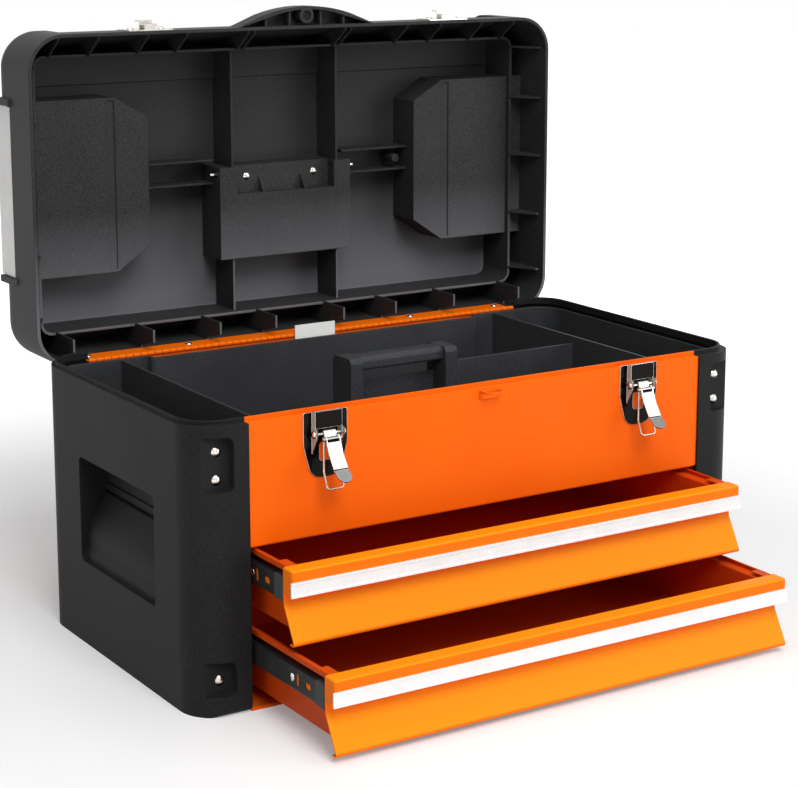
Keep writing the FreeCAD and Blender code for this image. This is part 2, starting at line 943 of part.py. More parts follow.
def latch_rivets():
    """Rivets behind the bridges, through the base and the front panel."""
    face = panel_front - latch_plate
    inner = panel_front + sheet
    z = latch_rivet_height()
    rivets = []
    for centre in (-latch_place, latch_place):
        for x in (centre - latch_rivet_place, centre + latch_rivet_place):
            rivets.append(joined([
                dome("y", x, z, small_rivet_head, -small_rivet_dome, face),
                rod("y", x, z, small_rivet_shank, face, inner),
                dome("y", x, z, small_rivet_head, small_rivet_dome, inner)]))
    return group(rivets)


def swung(shape):
    """Latch piece turned out to its rest angle about the lever pin."""
    y, z = latch_pin_spot()
    turned = shape.copy()
    turned.rotate(Vector(0, y, z), Vector(1, 0, 0), -lever_rest)
    return turned


def latch_lever(side):
    """Lever with curled top, side cheeks and a finger tip."""
    centre = side * latch_place
    y, z = latch_pin_spot()
    span = (centre - lever_half, centre + lever_half)
    outer = y - lever_offset - lever_plate / 2
    inner = outer + lever_plate
    plate = prism("x", [
        (inner, z), (outer, z),
        (outer, z - lever_bend),
        (outer - lever_flick, z - lever_length),
        (inner - lever_flick, z - lever_length),
        (inner, z - lever_bend)], *span)
    tip_round = lever_half - fit_gap
    outline = prism("y", [
        (span[0], z + lever_barrel),
        (span[0], z - lever_length, tip_round),
        (span[1], z - lever_length, tip_round),
        (span[1], z + lever_barrel)], outer - overrun - lever_flick, inner + overrun)
    pieces = [plate.common(outline), rod("x", y, z, lever_barrel, *span)]
    for hand in (-1, 1):
        face = centre + hand * lever_half
        wall = sorted((face, face - hand * cheek_wall))
        pieces.append(prism("x", [
            (inner, z - cheek_top),
            (y - cheek_stand, z - cheek_top, latch_plate),
            (y - cheek_stand, z - cheek_low, latch_plate),
            (inner, z - cheek_point)], *wall))
    bores = [rod("x", y, z, latch_pin_radius + fit_gap, span[0] - overrun, span[1] + overrun),
             rod("x", y - bail_pin_stand, z - bail_pin_drop, bail_pin_radius + fit_gap,
                 span[0] - overrun, span[1] + overrun)]
    return swung(cut(joined(pieces), bores))


def bail_pin_spot():
    """Axis of the bail at rest: y, z."""
    y, z = latch_pin_spot()
    angle = math.radians(lever_rest)
    out = bail_pin_stand * math.cos(angle) + bail_pin_drop * math.sin(angle)
    down = bail_pin_drop * math.cos(angle) - bail_pin_stand * math.sin(angle)
    return y - out, z - down


def bail_reach():
    """Outer half width of the bail at its eyes."""
    return lever_half + bail_gap + bail_wire


def bail_pin(side):
    """Small pin through the lever cheeks that the bail turns on."""
    y, z = bail_pin_spot()
    centre = side * latch_place
    half = bail_reach() + bail_gap
    return rod("x", y, z, bail_pin_radius, centre - half, centre + half)


def latch_bail(side):
    """Wire loop that pulls the lid catch down."""
    centre = side * latch_place
    y, z = bail_pin_spot()
    run = lever_half + bail_gap + bail_wire / 2
    bend = z - bail_straight
    low = z - bail_length
    points = []
    for hand in (-1, 1):
        x = centre + hand * run
        leg = [Vector(x, y, z - bail_pin_radius), Vector(x, y, bend),
               Vector(x, y - bail_offset, low)]
        points += leg if hand < 0 else leg[::-1]
    pieces = [bent_wire(points, bail_wire / 2, bail_bend)]
    for hand in (-1, 1):
        x = centre + hand * run
        pieces.append(rod("x", y, z, bail_eye, x - bail_eye_width / 2, x + bail_eye_width / 2))
    bore = rod("x", y, z, bail_pin_radius + fit_gap, centre - latch_half, centre + latch_half)
    return joined(pieces).cut(bore)


def lid_form(inset):
    """Outer form of the lid, drawn in by inset; the rim side stays open for the cavity."""
    corner = lid_corner - inset
    low = lid_low + inset
    high = lid_high - inset
    half = lid_half - inset
    start = rim - (overrun if inset else 0)
    body = prism("y", [(-half, low, corner), (half, low, corner),
                       (half, high, corner), (-half, high, corner)], start, lid_back - inset)
    back_edges = [edge for edge in body.Edges
                  if all(abs(vertex.Y - lid_back + inset) < fit_gap for vertex in edge.Vertexes)]
    body = body.makeFillet(lid_shoulder - inset, back_edges)
    run = lid_back - rim - slope_start
    top = lid_high - inset
    slope_end = lid_back + overrun
    slope_low = top - slope_drop * (run + overrun) / run
    wedge = prism("x", [(rim + slope_start, top), (slope_end, slope_low),
                        (slope_end, top + overrun), (rim + slope_start, top + overrun)],
                  *both(slope_half + inset))
    return body.cut(wedge)


def level(height):
    """Height of a place on the open lid above its lowest face."""
    return lid_low + height


def behind(depth):
    """Depth of a place on the open lid behind its rim."""
    return rim + depth


def bulge_outline(inset, side):
    """Outline of an organizer seen from the front: x, z."""
    slant = inset * math.tan(math.atan2(bulge_chamfer_low, bulge_chamfer_x) / 2)
    inner = bulge_inner + inset
    outer = lid_half + (overrun if inset else 0)
    low = level(bulge_low) + inset
    high = level(bulge_high) - inset
    points = [
        (inner, level(bulge_low) + bulge_chamfer_low + slant),
        (bulge_inner + bulge_chamfer_x + slant, low),
        (outer, low),
        (outer, high),
        (bulge_inner + bulge_chamfer_x + slant, high),
        (inner, level(bulge_high) - bulge_chamfer_high - slant)]
    return [(side * x, z) for x, z in points]


def cover_axis(side):
    """Hinge axis of an organizer cover: x, y."""
    return side * (bulge_inner + cover_pin_inset), lid_back - cover_pin_drop


def cover_pin_spans():
    """Upper and lower span of the cover hinge pins."""
    low = level(bulge_low) + bulge_chamfer_low - bulge_wall - cover_gap
    high = level(bulge_high) - bulge_chamfer_high + bulge_wall + cover_gap
    return (low, low + cover_pin_length), (high - cover_pin_length, high)


def lid_liner(cavity):
    """Inner wall of the lid and the ribs and fins round it, kept inside the lid's skin."""
    edge = behind(liner_edge)
    low = level(liner_low)
    high = lid_high - liner_high
    skin = lid_back - lid_wall
    outer = prism("y", [(-liner_half - liner_wall, low - liner_wall, liner_corner + liner_wall),
                        (liner_half + liner_wall, low - liner_wall, liner_corner + liner_wall),
                        (liner_half + liner_wall, high + liner_wall, liner_corner + liner_wall),
                        (-liner_half - liner_wall, high + liner_wall, liner_corner + liner_wall)],
                  edge, skin)
    inner = prism("y", [(-liner_half, low, liner_corner), (liner_half, low, liner_corner),
                        (liner_half, high, liner_corner), (-liner_half, high, liner_corner)],
                  edge - overrun, skin + overrun)
    pieces = [outer.cut(inner)]
    half = rib_wall / 2
    notch = behind(fin_notch_depth)
    for x in across(hinge_fin_places):
        pieces.append(prism("x", [
            (behind(0) - lid_gap, low),
            (edge, low),
            (skin, low),
            (skin, lid_low),
            (notch, lid_low),
            (notch, level(lid_wall + leaf_plate) + screw_head_height),
            (behind(0) - lid_gap, low - fin_lip)], x - half, x + half))
    for x in across(cross_rib_places):
        pieces.append(prism("x", [
            (behind(cross_rib_edge), lid_high), (behind(cross_rib_edge), lid_high - 2 * lid_wall),
            (edge, high), (skin, high), (skin, lid_high)], x - half, x + half))
    for z in (level(place) for place in end_rib_places):
        for side in (-1, 1):
            points = [(side * lid_half, behind(end_rib_edge)),
                      (side * (lid_half - 2 * lid_wall), behind(end_rib_edge)),
                      (side * liner_half, edge),
                      (side * liner_half, skin),
                      (side * lid_half, skin)]
            pieces.append(prism("z", points, z - half, z + half))
    return [piece.common(cavity) for piece in pieces]


def well_outline(inset):
    """Outline of the carry handle well: x, z."""
    half = well_half - inset
    low = level(well_low) + inset
    high = level(well_high) - inset * well_cap_wall / well_wall
    return [(-half, low), (half, low), (half, high), (-half, high)]


def lid_floor_ribs():
    """Tall ribs, the rod channel, the floor step and the round boss inside the lid."""
    skin = lid_back - lid_wall
    half = rib_wall / 2
    pieces = []
    for x in across([tall_rib_place]):
        for span in ((level(liner_low), level(well_low)), (level(well_high), lid_high - liner_high)):
            pieces.append(block((x - half, x + half), (behind(tall_rib_edge), skin), span))
    for side in (-1, 1):
        reach = sorted((side * (well_half - half), side * (bulge_inner + bulge_wall / 2)))
        for z in (level(channel_low), level(channel_high)):
            pieces.append(block(reach, (behind(channel_edge), skin), (z - half, z + half)))
    pieces.append(rod("y", bulge_inner - boss_inset, level((channel_low + channel_high) / 2), boss_radius,
                      behind(channel_edge), skin))
    pieces.append(block(both(liner_half), (skin - rib_wall, skin),
                        (level(floor_step), lid_high - liner_high)))
    return pieces


def tab_outline(inset):
    """Arched outline of the padlock tab: x, z."""
    shoulder = tab_rise * tab_shoulder_share
    half = tab_half - inset
    place = tab_shoulder_place - inset
    return [(-half, 0), (-place, shoulder - inset), (0, tab_rise - inset),
            (place, shoulder - inset), (half, 0)]


def tab_prism(inset, low, high):
    """Padlock tab between two depths, arched by one long arc over its middle."""
    points = tab_outline(inset)
    spots = [Vector(x, low, lid_high + z) for x, z in points]
    base = -lid_wall
    feet = [Vector(points[0][0], low, lid_high + base), Vector(points[-1][0], low, lid_high + base)]
    edges = [Part.makeLine(feet[0], spots[0]),
             Part.makeLine(spots[0], spots[1]),
             Part.Arc(spots[1], spots[2], spots[3]).toShape(),
             Part.makeLine(spots[3], spots[4]),
             Part.makeLine(spots[4], feet[1]),
             Part.makeLine(feet[1], feet[0])]
    return Part.Face(Part.Wire(edges)).extrude(Vector(0, high - low, 0))


def padlock_tab():
    """Hollow tab with ribs and a bossed padlock hole."""
    near = behind(tab_near)
    far = behind(tab_deep)
    shell = tab_prism(0, near, far)
    shell = shell.cut(tab_prism(tab_wall, near - overrun, far - tab_wall))
    inside = tab_prism(tab_wall / 2, near, far)
    half = rib_wall / 2
    ribs = [block((x - half, x + half), (near + tab_wall, far), (lid_high, lid_high + tab_rise))
            for x in tab_rib_places]
    ribs.append(rod("y", 0, lid_high + tab_hole_rise, tab_boss, near, far))
    pieces = [shell] + [rib.common(inside) for rib in ribs]
    hole = rod("y", 0, lid_high + tab_hole_rise, tab_hole, near - overrun, far + overrun)
    return joined(pieces).cut(hole)


def well_cuts():
    """Space of the carry handle seen from outside, and the notch seen from inside."""
    inner = well_half - well_wall
    low = level(well_low) + well_wall
    high = level(well_high) - well_cap_wall
    notch_z = level(notch_low)
    floor = behind(bulge_front) + well_wall
    notch_floor = behind(notch_front) + well_wall
    out = lid_back + overrun
    main = block(both(inner), (floor, out), (low, notch_z - well_wall))
    arms = []
    for side in (-1, 1):
        span = sorted((side * (notch_half + well_wall), side * inner))
        arms.append(block(span, (floor, out), (low, high)))
    upper = block(both(inner), (notch_floor, out), (low, high))
    notch = block(both(notch_half), (rim, behind(notch_front)), (notch_z, level(well_high) + sheet))
    return [main] + arms + [upper, notch]


def rod_spot():
    """Axis of the carry handle rod: y, z."""
    return behind(rod_front), level(rod_height)


def lid_shell():
    """Moulded lid: skin, inner wall, ribs, organizers, handle well and padlock tab."""
    outer = lid_form(0)
    cavity = lid_form(lid_wall)
    shell = outer.cut(cavity)
    front = behind(bulge_front)
    out = lid_back + overrun
    pieces = [shell] + lid_liner(cavity)
    pieces += [piece.common(outer) for piece in lid_floor_ribs()]
    pieces.append(prism("y", well_outline(0), front, lid_back - lid_wall))
    cuts = well_cuts()
    for side in (-1, 1):
        bulge = prism("y", bulge_outline(0, side), front, lid_back)
        pieces.append(bulge.common(outer))
        cuts.append(prism("y", bulge_outline(bulge_wall, side), front + bulge_wall, out))
        groove_in = side * (bulge_inner + bulge_chamfer_x)
        groove = sorted((groove_in, groove_in + side * groove_width))
        cuts.append(block(groove, (front - sheet, front + groove_depth),
                          (level(bulge_low) + bulge_wall, level(bulge_high) - bulge_wall)))
        lug = sorted((side * (lid_half - lid_wall), side * (lid_half + lug_proud)))
        for z in (level(bulge_low) - lug_height / 2, level(bulge_high) - lug_height / 2):
            pieces.append(block(lug, (front, front + lug_depth), (z, z + lug_height)))
    body = cut(joined(pieces), cuts)
    extras = [padlock_tab()]
    for side in (-1, 1):
        span = sorted((side * (bulge_inner + bulge_wall / 2), side * (lid_half - lid_wall)))
        extras += [block(span, (front + bulge_wall / 2, lid_back - organizer_rib_edge),
                         (level(place) - rib_wall / 2, level(place) + rib_wall / 2))
                   for place in organizer_rib_places]
    y, z = rod_spot()
    for x in (-notch_rib, notch_rib):
        extras.append(prism("x", [
            (behind(notch_front) + rib_wall / 2, level(notch_low)),
            (behind(notch_front) + rib_wall / 2, z - rod_radius - rib_wall),
            (y + rod_radius + rib_wall, z - rod_radius - rib_wall),
            (front + rib_wall, level(notch_low))], x - rib_wall / 2, x + rib_wall / 2))
    for x in across([well_screw_place]):
        extras.append(rod("y", x, level(well_screw_height), screw_head, behind(notch_front) + sheet,
                          behind(notch_front) + screw_length + well_wall))
    body = joined([body] + extras)
    holes = [rod("x", y, z, rod_radius + fit_gap, -rod_half, rod_half)]
    for x in across([well_screw_place]):
        holes.append(rod("y", x, level(well_screw_height), screw_shank + fit_gap,
                         behind(notch_front) - sheet, behind(notch_front) + screw_length + fit_gap))
    for x in across(leaf_screw_places):
        holes.append(rod("z", x, pin_y + leaf_screw_reach, screw_shank + fit_gap,
                         lid_low + lid_wall - screw_length - fit_gap, lid_low + lid_wall + sheet))
    for side in (-1, 1):
        x, y = cover_axis(side)
        for span in cover_pin_spans():
            holes.append(rod("z", x, y, cover_pin_radius + fit_gap, *span))
        for x in (side * latch_place - catch_screw_place, side * latch_place + catch_screw_place):
            holes.append(rod("z", x, behind(catch_start + catch_height / 2), screw_shank + fit_gap,
                             lid_high - screw_length - fit_gap, lid_high + sheet))
    return cut(body, holes)


def organizer_pins():
    """Hinge pins of the organizer covers."""
    pins = []
    for side in (-1, 1):
        x, y = cover_axis(side)
        pins += [rod("z", x, y, cover_pin_radius, *span) for span in cover_pin_spans()]
    return group(pins)


def organizer_cover(side):
    """Clear cover that wraps over the lid's end, with its hinge barrel."""
    inset = bulge_wall + cover_gap
    outline = bulge_outline(inset, side)
    outline = [(side * min(abs(x), lid_half), z) for x, z in outline]
    low = behind(bulge_front) + bulge_wall + cover_gap
    high = lid_back - cover_drop
    solid = prism("y", outline, low, high)
    corner = prism("z", [
        (0, low), (side * lid_half, low), (side * lid_half, high, cover_round), (0, high)],
        lid_low, lid_high)
    inner = prism("z", [
        (0, low - overrun), (side * (lid_half - cover_wall), low - overrun),
        (side * (lid_half - cover_wall), high - cover_wall, cover_round - cover_wall),
        (0, high - cover_wall)], lid_low, lid_high)
    axis_x, axis_y = cover_axis(side)
    plate = solid.common(corner).cut(inner)
    swing = side * (abs(axis_x) + cover_swing)
    keep = block(sorted((swing, side * lid_half)), (low, high), (lid_low, lid_high))
    pins = cover_pin_spans()
    span = (pins[0][0] + bulge_wall + 2 * cover_gap + cover_wall,
            pins[1][1] - bulge_wall - 2 * cover_gap - cover_wall)
    barrel = rod("z", axis_x, axis_y, cover_barrel, *span)
    link = block(sorted((axis_x, swing + side * cover_gap)), (high - cover_wall, high), span)
    body = joined([plate.common(keep), link, barrel])
    bore = rod("z", axis_x, axis_y, cover_pin_radius + fit_gap, lid_low, lid_high)
    return body.cut(bore)


def handle_rod():
    """Steel rod that the carry handle turns on."""
    y, z = rod_spot()
    return rod("x", y, z, rod_radius, -rod_half, rod_half)


def handle_screws():
    """Screws in the notch of the handle well."""
    seat = behind(notch_front)
    return group([pan_screw("y", x, level(well_screw_height), seat, -1, screw_length,
                            height=screw_head_height / 2)
                  for x in across([well_screw_place])])


def carry_handle():
    """Folding handle: two arms from the rod and a rounded grip."""
    y, z = rod_spot()
    outer = well_half - well_wall - handle_arm_gap
    inner = outer - handle_arm
    grip_y = y + handle_rise
    grip_z = z - handle_reach
    deep = handle_grip_deep / 2
    high = handle_grip_high / 2
    pieces = [prism("x", [
        (grip_y - deep, grip_z - high, handle_grip_round),
        (grip_y + deep, grip_z - high, handle_grip_round),
        (grip_y + deep, grip_z + high, handle_grip_round),
        (grip_y - deep, grip_z + high, handle_grip_round)], *both(outer))]
    lean = math.atan2(handle_rise, handle_reach)
    side_y = handle_boss * math.cos(lean)
    side_z = handle_boss * math.sin(lean)
    for side in (-1, 1):
        span = sorted((side * inner, side * outer))
        pieces.append(rod("x", y, z, handle_boss, *span))
        pieces.append(prism("x", [
            (y - side_y, z - side_z), (y + side_y, z + side_z),
            (grip_y + side_y, grip_z + side_z), (grip_y - side_y, grip_z - side_z)], *span))
    bore = rod("x", y, z, rod_radius + fit_gap, -rod_half, rod_half)
    return joined(pieces).cut(bore)


def lid_catch(side):
    """Catch on the lid front: plate, bent block and the lip that holds the bail."""
    centre = side * latch_place
    near = behind(catch_start)
    top = lid_high + catch_plate
    hook = (centre - hook_half, centre + hook_half)
    end = near + hook_height
    stand = top + hook_stand - catch_plate
    lip = lid_high + hook_lip_stand
    pieces = [
        block((centre - catch_half, centre + catch_half), (near, near + catch_height),
              (lid_high, top)),
        block(hook, (near, near + catch_plate), (lid_high, stand)),
        block(hook, (near, end), (stand - catch_plate, stand)),
        block(hook, (end - catch_plate, end), (lid_high, lip)),
        block(hook, (end - catch_plate, end + hook_lip), (lip - catch_plate, lip))]
    holes = [rod("z", x, near + catch_height / 2, screw_shank + fit_gap, lid_high - sheet, top + sheet)
             for x in (centre - catch_screw_place, centre + catch_screw_place)]
    return cut(joined(pieces), holes)


def catch_screws():
    """Screws of the two catches."""
    y = behind(catch_start + catch_height / 2)
    seat = lid_high + catch_plate
    return group([pan_screw("z", centre + offset, y, seat, 1, catch_plate + screw_length)
                  for centre in (-latch_place, latch_place)
                  for offset in (-catch_screw_place, catch_screw_place)])


def front_profile():
    """Folded section of a drawer front: depth behind the lip plane, height."""
    return [(box_start, lip_top), (0, lip_top), (0, strip_bottom), (lip_depth, strip_bottom),
            (lip_depth, waist_bottom), (-hem_out, hem_bottom), (hem_return - hem_out, hem_bottom)]


def moved(shape, out, drop):
    """Drawer piece at its rest place."""
    copy = shape.copy()
    copy.translate(Vector(0, panel_front - out, -drop))
    return copy


def drawer_front(out, drop):
    """Painted front: lip, recess for the strip and the slanted pull."""
    sheet_part = strip_path("x", front_profile(), sheet, *both(lip_half))
    pieces = [sheet_part]
    for side in (-1, 1):
        wall = sorted((side * lip_half, side * (lip_half - sheet)))
        pieces.append(block(wall, (0, lip_depth), (strip_bottom, lip_top)))
        slant = prism("x", [(lip_depth, waist_bottom), (-hem_out, hem_bottom),
                            (-hem_out + sheet, hem_bottom), (lip_depth, waist_bottom - sheet)],
                      *sorted((side * (lip_half - sheet), side * drawer_half)))
        pieces.append(slant)
        tab = sorted((side * box_half, side * (lip_half - sheet)))
        pieces.append(block(tab, (lip_depth - sheet, lip_depth),
                            (strip_bottom - sheet, lip_top)))
    return moved(joined(pieces), out, drop)


def label_strip(out, drop):
    """White ribbed strip along the lip."""
    pieces = [block(both(drawer_half), (-strip_proud, 0), (strip_bottom, strip_top))]
    for z in ((strip_bottom, strip_bottom + strip_rim), (strip_top - strip_rim, strip_top)):
        pieces.append(block(both(drawer_half), (-strip_proud - strip_rib_proud, 0), z))
    count = int((drawer_half - strip_rib_width) / strip_rib_pitch)
    for index in range(-count, count + 1):
        x = index * strip_rib_pitch
        pieces.append(block((x - strip_rib_width / 2, x + strip_rib_width / 2),
                            (-strip_proud - strip_rib_proud, 0), (strip_bottom, strip_top)))
    return moved(joined(pieces), out, drop)


def drawer_box(out, drop):
    """Floor and side walls in one folded sheet, with turned top edges and corner tabs."""
    start = box_start
    end = start + box_length
    pieces = [block(both(box_half), (start, end), (box_bottom, box_bottom + sheet))]
    cuts = []
    for side in (-1, 1):
        wall = sorted((side * box_half, side * (box_half - sheet)))
        pieces.append(block(wall, (start, end), (box_bottom, lip_top)))
        fold = sorted((side * box_half, side * (box_half - flange_width)))
        pieces.append(block(fold, (start, end), (lip_top - sheet, lip_top)))
        tab = sorted((side * box_half, side * (box_half - tab_width)))
        pieces.append(block(tab, (start, start + tab_length), (lip_top - sheet, lip_top)))
        bead = rod("y", side * (box_half - sheet), lip_top - 2 * flange_width, sheet,
                   start + sheet, end - sheet)
        inside = block(both(box_half), (start, end), (box_bottom, lip_top))
        pieces.append(bead.common(inside))
        for place in runner_screw_places:
            span = sorted((side * (box_half - 2 * sheet), side * (box_half + sheet)))
            cuts.append(rod("x", place, runner_centre, runner_screw_shank + fit_gap, *span))
    return moved(cut(joined(pieces), cuts), out, drop)


def drawer_wall(out, drop, start, top):
    """Plain sheet between the drawer's side walls, spot welded in."""
    wall = block(both(box_half - sheet), (start, start + sheet), (box_bottom + sheet, top))
    return moved(wall, out, drop)


def runner_pair(build):
    """Right and left copies of a runner piece."""
    right = build()
    return [right, mirrored(right)]


def drawer_runners(out, drop):
    """Channel members fixed to the drawer sides, with a slot and an oval."""
    start = box_start
    half = runner_height / 2
    mouth = runner_outer - runner_mouth

    def right():
        pieces = [block((box_half, box_half + runner_wall), (start, start + box_length),
                        (runner_centre - half, runner_centre + half))]
        for sign in (-1, 1):
            z = sorted((runner_centre + sign * half, runner_centre + sign * (half - runner_wall)))
            pieces.append(block((box_half, mouth), (start, start + box_length), z))
        oval_half = oval_length / 2
        oval_round = oval_height / 2 - fit_gap
        oval = prism("x", [
            (oval_place - oval_half, runner_centre - oval_height / 2, oval_round),
            (oval_place + oval_half, runner_centre - oval_height / 2, oval_round),
            (oval_place + oval_half, runner_centre + oval_height / 2, oval_round),
            (oval_place - oval_half, runner_centre + oval_height / 2, oval_round)],
            box_half - overrun, box_half + overrun)
        slot = block((box_half - overrun, box_half + overrun),
                     (slot_place - slot_width / 2, slot_place + slot_width / 2),
                     (runner_centre - slot_height / 2, runner_centre + slot_height / 2))
        holes = [rod("x", place, runner_centre, runner_screw_shank + fit_gap,
                     box_half - overrun, box_half + overrun) for place in runner_screw_places]
        return cut(joined(pieces), [oval, slot] + holes)

    return moved(group(runner_pair(right)), out, drop)


def runner_bumpers(out, drop):
    """Rubber stops in the front ends of the drawer members."""
    low = runner_centre - runner_height / 2 + runner_wall
    high = runner_centre + runner_height / 2 - runner_wall

    def right():
        inner = box_half + runner_wall
        outer = runner_outer - runner_mouth
        return prism("x", [
            (box_start, low, bumper_round), (box_start + bumper_length, low),
            (box_start + bumper_length, high), (box_start, high, bumper_round)], inner, outer)

    return moved(group(runner_pair(right)), out, drop)


def runner_screws(out, drop):
    """Screws that hold the drawer members to the drawer."""
    def right(place):
        seat = box_half + runner_wall
        return pan_screw("x", place, runner_centre, seat, 1, runner_wall + sheet,
                         head=runner_screw_head, height=runner_screw_height,
                         shank=runner_screw_shank)

    screws = []
    for place in runner_screw_places:
        screw = right(place)
        screws += [screw, mirrored(screw)]
    return moved(group(screws), out, drop)


def case_runners(drop):
    """Outer channel members fixed to the case sides."""
    half = runner_height / 2 + ball_gap + runner_wall
    start = panel_front + case_runner_start
    end = panel_front + case_runner_end
    centre = runner_centre - drop

    def right():
        pieces = [block((runner_outer - runner_wall, runner_outer), (start, end),
                        (centre - half, centre + half))]
        for sign in (-1, 1):
            z = sorted((centre + sign * half, centre + sign * (half - runner_wall)))
            pieces.append(block((runner_outer - case_runner_mouth, runner_outer), (start, end), z))
        holes = [rod("x", panel_front + place, centre, screw_shank + fit_gap,
                     runner_outer - overrun, runner_outer + overrun)
                 for place in case_rivet_places]
        return cut(joined(pieces), holes)

    return group(runner_pair(right))


def case_runner_rivets():
    """Rivets of the case members: flush inside, domed on the outside of the case side."""
    rivets = []
    inner = runner_outer - runner_wall
    for drop in (0, drawer_pitch):
        for place in case_rivet_places:
            y = panel_front + place
            z = runner_centre - drop
            rivet = joined([
                dome("x", y, z, small_rivet_head, small_rivet_dome, wall_outer),
                rod("x", y, z, screw_shank, inner, wall_outer)])
            rivets += [rivet, mirrored(rivet)]
    return group(rivets)


def ball_spots(out):
    """Places of the balls of one runner: y, height sign."""
    start = panel_front + cage_start - out / 2
    pitch = cage_length / cage_balls
    return [(start + pitch * (index + 1 / 2), sign)
            for index in range(cage_balls) for sign in (-1, 1)]


def ball_offset():
    """Height of the ball rows above and below the runner's middle."""
    return runner_height / 2 + ball_gap / 2


def ball_cages(out, drop):
    """Thin channels that keep the balls apart."""
    start = panel_front + cage_start - out / 2
    centre = runner_centre - drop
    web_outer = runner_outer - runner_wall - cage_gap
    web = (web_outer - cage_wall, web_outer)
    half = ball_offset() + cage_wall / 2

    def right():
        pieces = [block(web, (start, start + cage_length), (centre - half, centre + half))]
        for sign in (-1, 1):
            z = sorted((centre + sign * half, centre + sign * (half - cage_wall)))
            reach = (runner_outer - ball_inset - ball_gap / 2 - cage_inset, web_outer)
            pieces.append(block(reach, (start, start + cage_length), z))
        holes = [rod("z", runner_outer - ball_inset, y, ball_gap / 2 + ball_play,
                     *sorted((centre + sign * (half - 2 * cage_wall),
                              centre + sign * (half + cage_wall))))
                 for y, sign in ball_spots(out)]
        return cut(joined(pieces), holes)

    return group(runner_pair(right))


def runner_balls(out, drop):
    """Steel balls between the two members."""
    centre = runner_centre - drop
    radius = ball_gap / 2 - ball_play
    balls = []
    for side in (-1, 1):
        for y, sign in ball_spots(out):
            balls.append(Part.makeSphere(radius, Vector(side * (runner_outer - ball_inset), y,
                                                        centre + sign * ball_offset())))
    return group(balls)


def tray_outline(inset):
    """Plan of the tote tray: x, y."""
    half = tray_half - inset
    corner = tray_corner - inset
    front = panel_front + tray_front + inset
    rear = panel_front + tray_rear_side - inset
    middle = panel_front + tray_rear_middle - inset
    step = tray_step + inset
    return [(-half, front, corner), (half, front, corner), (half, rear, corner),
            (step, rear, tray_step_round / 2), (step, middle, tray_step_round / 2),
            (-step, middle, tray_step_round / 2), (-step, rear, tray_step_round / 2),
            (-half, rear, corner)]


def tote_tray():
    """Lift-out tray with a deep middle, dividers and a carrying handle."""
    floor = deck_height + tray_seat
    deep = block(both(tray_deep_half), (case_front, case_back), (floor, tray_shelf + tray_wall))
    deep = deep.common(prism("z", tray_outline(0), floor, tray_shelf + tray_wall))
    upper = prism("z", tray_outline(0), tray_shelf, tray_top)
    hollow = prism("z", tray_outline(tray_wall), tray_shelf + tray_wall, tray_top + overrun)
    inner_half = tray_deep_half - tray_wall
    pit = block(both(inner_half), (case_front, case_back),
                (floor + tray_wall, tray_shelf + overrun))
    pit = pit.common(prism("z", tray_outline(tray_wall), floor + tray_wall, tray_shelf + overrun))
    body = cut(joined([deep, upper]), [hollow, pit])
    inside = prism("z", tray_outline(tray_wall / 2), floor + tray_wall / 2, tray_top)
    half = divider_wall / 2
    depth = (case_front, case_back)
    ribs = [block((x - half, x + half), depth, (floor, tray_top - half))
            for x in across([divider_place])]
    y = panel_front + cross_place
    ribs.append(block((post_inner, divider_place), (y - half, y + half), (floor, cross_top)))
    ribs.append(block(both(post_outer - half), (y - half, y + half), (floor, web_top)))
    ribs = [rib.common(inside) for rib in ribs]
    front = panel_front + post_front
    for side in (-1, 1):
        span = sorted((side * post_inner, side * post_outer))
        ribs.append(prism("x", [
            (front, floor + half), (front + post_deep, floor + half),
            (front + post_deep, post_top, handle_bar_round),
            (front, post_top, handle_bar_round)], *span))
    bar_low = post_top - handle_bar
    ribs.append(prism("x", [
        (front + handle_bar_round, bar_low, handle_bar_round / 2),
        (front + post_deep - handle_bar_round, bar_low, handle_bar_round / 2),
        (front + post_deep - handle_bar_round, post_top, handle_bar_round),
        (front + handle_bar_round, post_top, handle_bar_round)], *both(post_outer - half)))
    return joined([body] + ribs)


def drawer_parts(name, out, drop):
    """Every piece that belongs to one drawer."""
    back = box_start + box_length - sheet
    return {
        name + "_drawer_box": drawer_box(out, drop),
        name + "_drawer_front_wall": drawer_wall(out, drop, box_start, lip_top - sheet),
        name + "_drawer_back_wall": drawer_wall(out, drop, back, lip_top - box_back_drop),
        name + "_drawer_front": drawer_front(out, drop),
        name + "_label_strip": label_strip(out, drop),
        name + "_drawer_runners": drawer_runners(out, drop),
        name + "_runner_bumpers": runner_bumpers(out, drop),
        name + "_runner_screws": runner_screws(out, drop),
        name + "_ball_cages": ball_cages(out, drop),
        name + "_runner_balls": runner_balls(out, drop),
        name + "_case_runners": case_runners(drop),
    }


def latch_parts(name, side):
    """Every piece that belongs to one latch."""
    return {
        name + "_latch_base": latch_base(side),
        name + "_latch_lever": latch_lever(side),
        name + "_bail_pin": bail_pin(side),
        name + "_latch_bail": latch_bail(side),
        name + "_catch": lid_catch(side),
    }


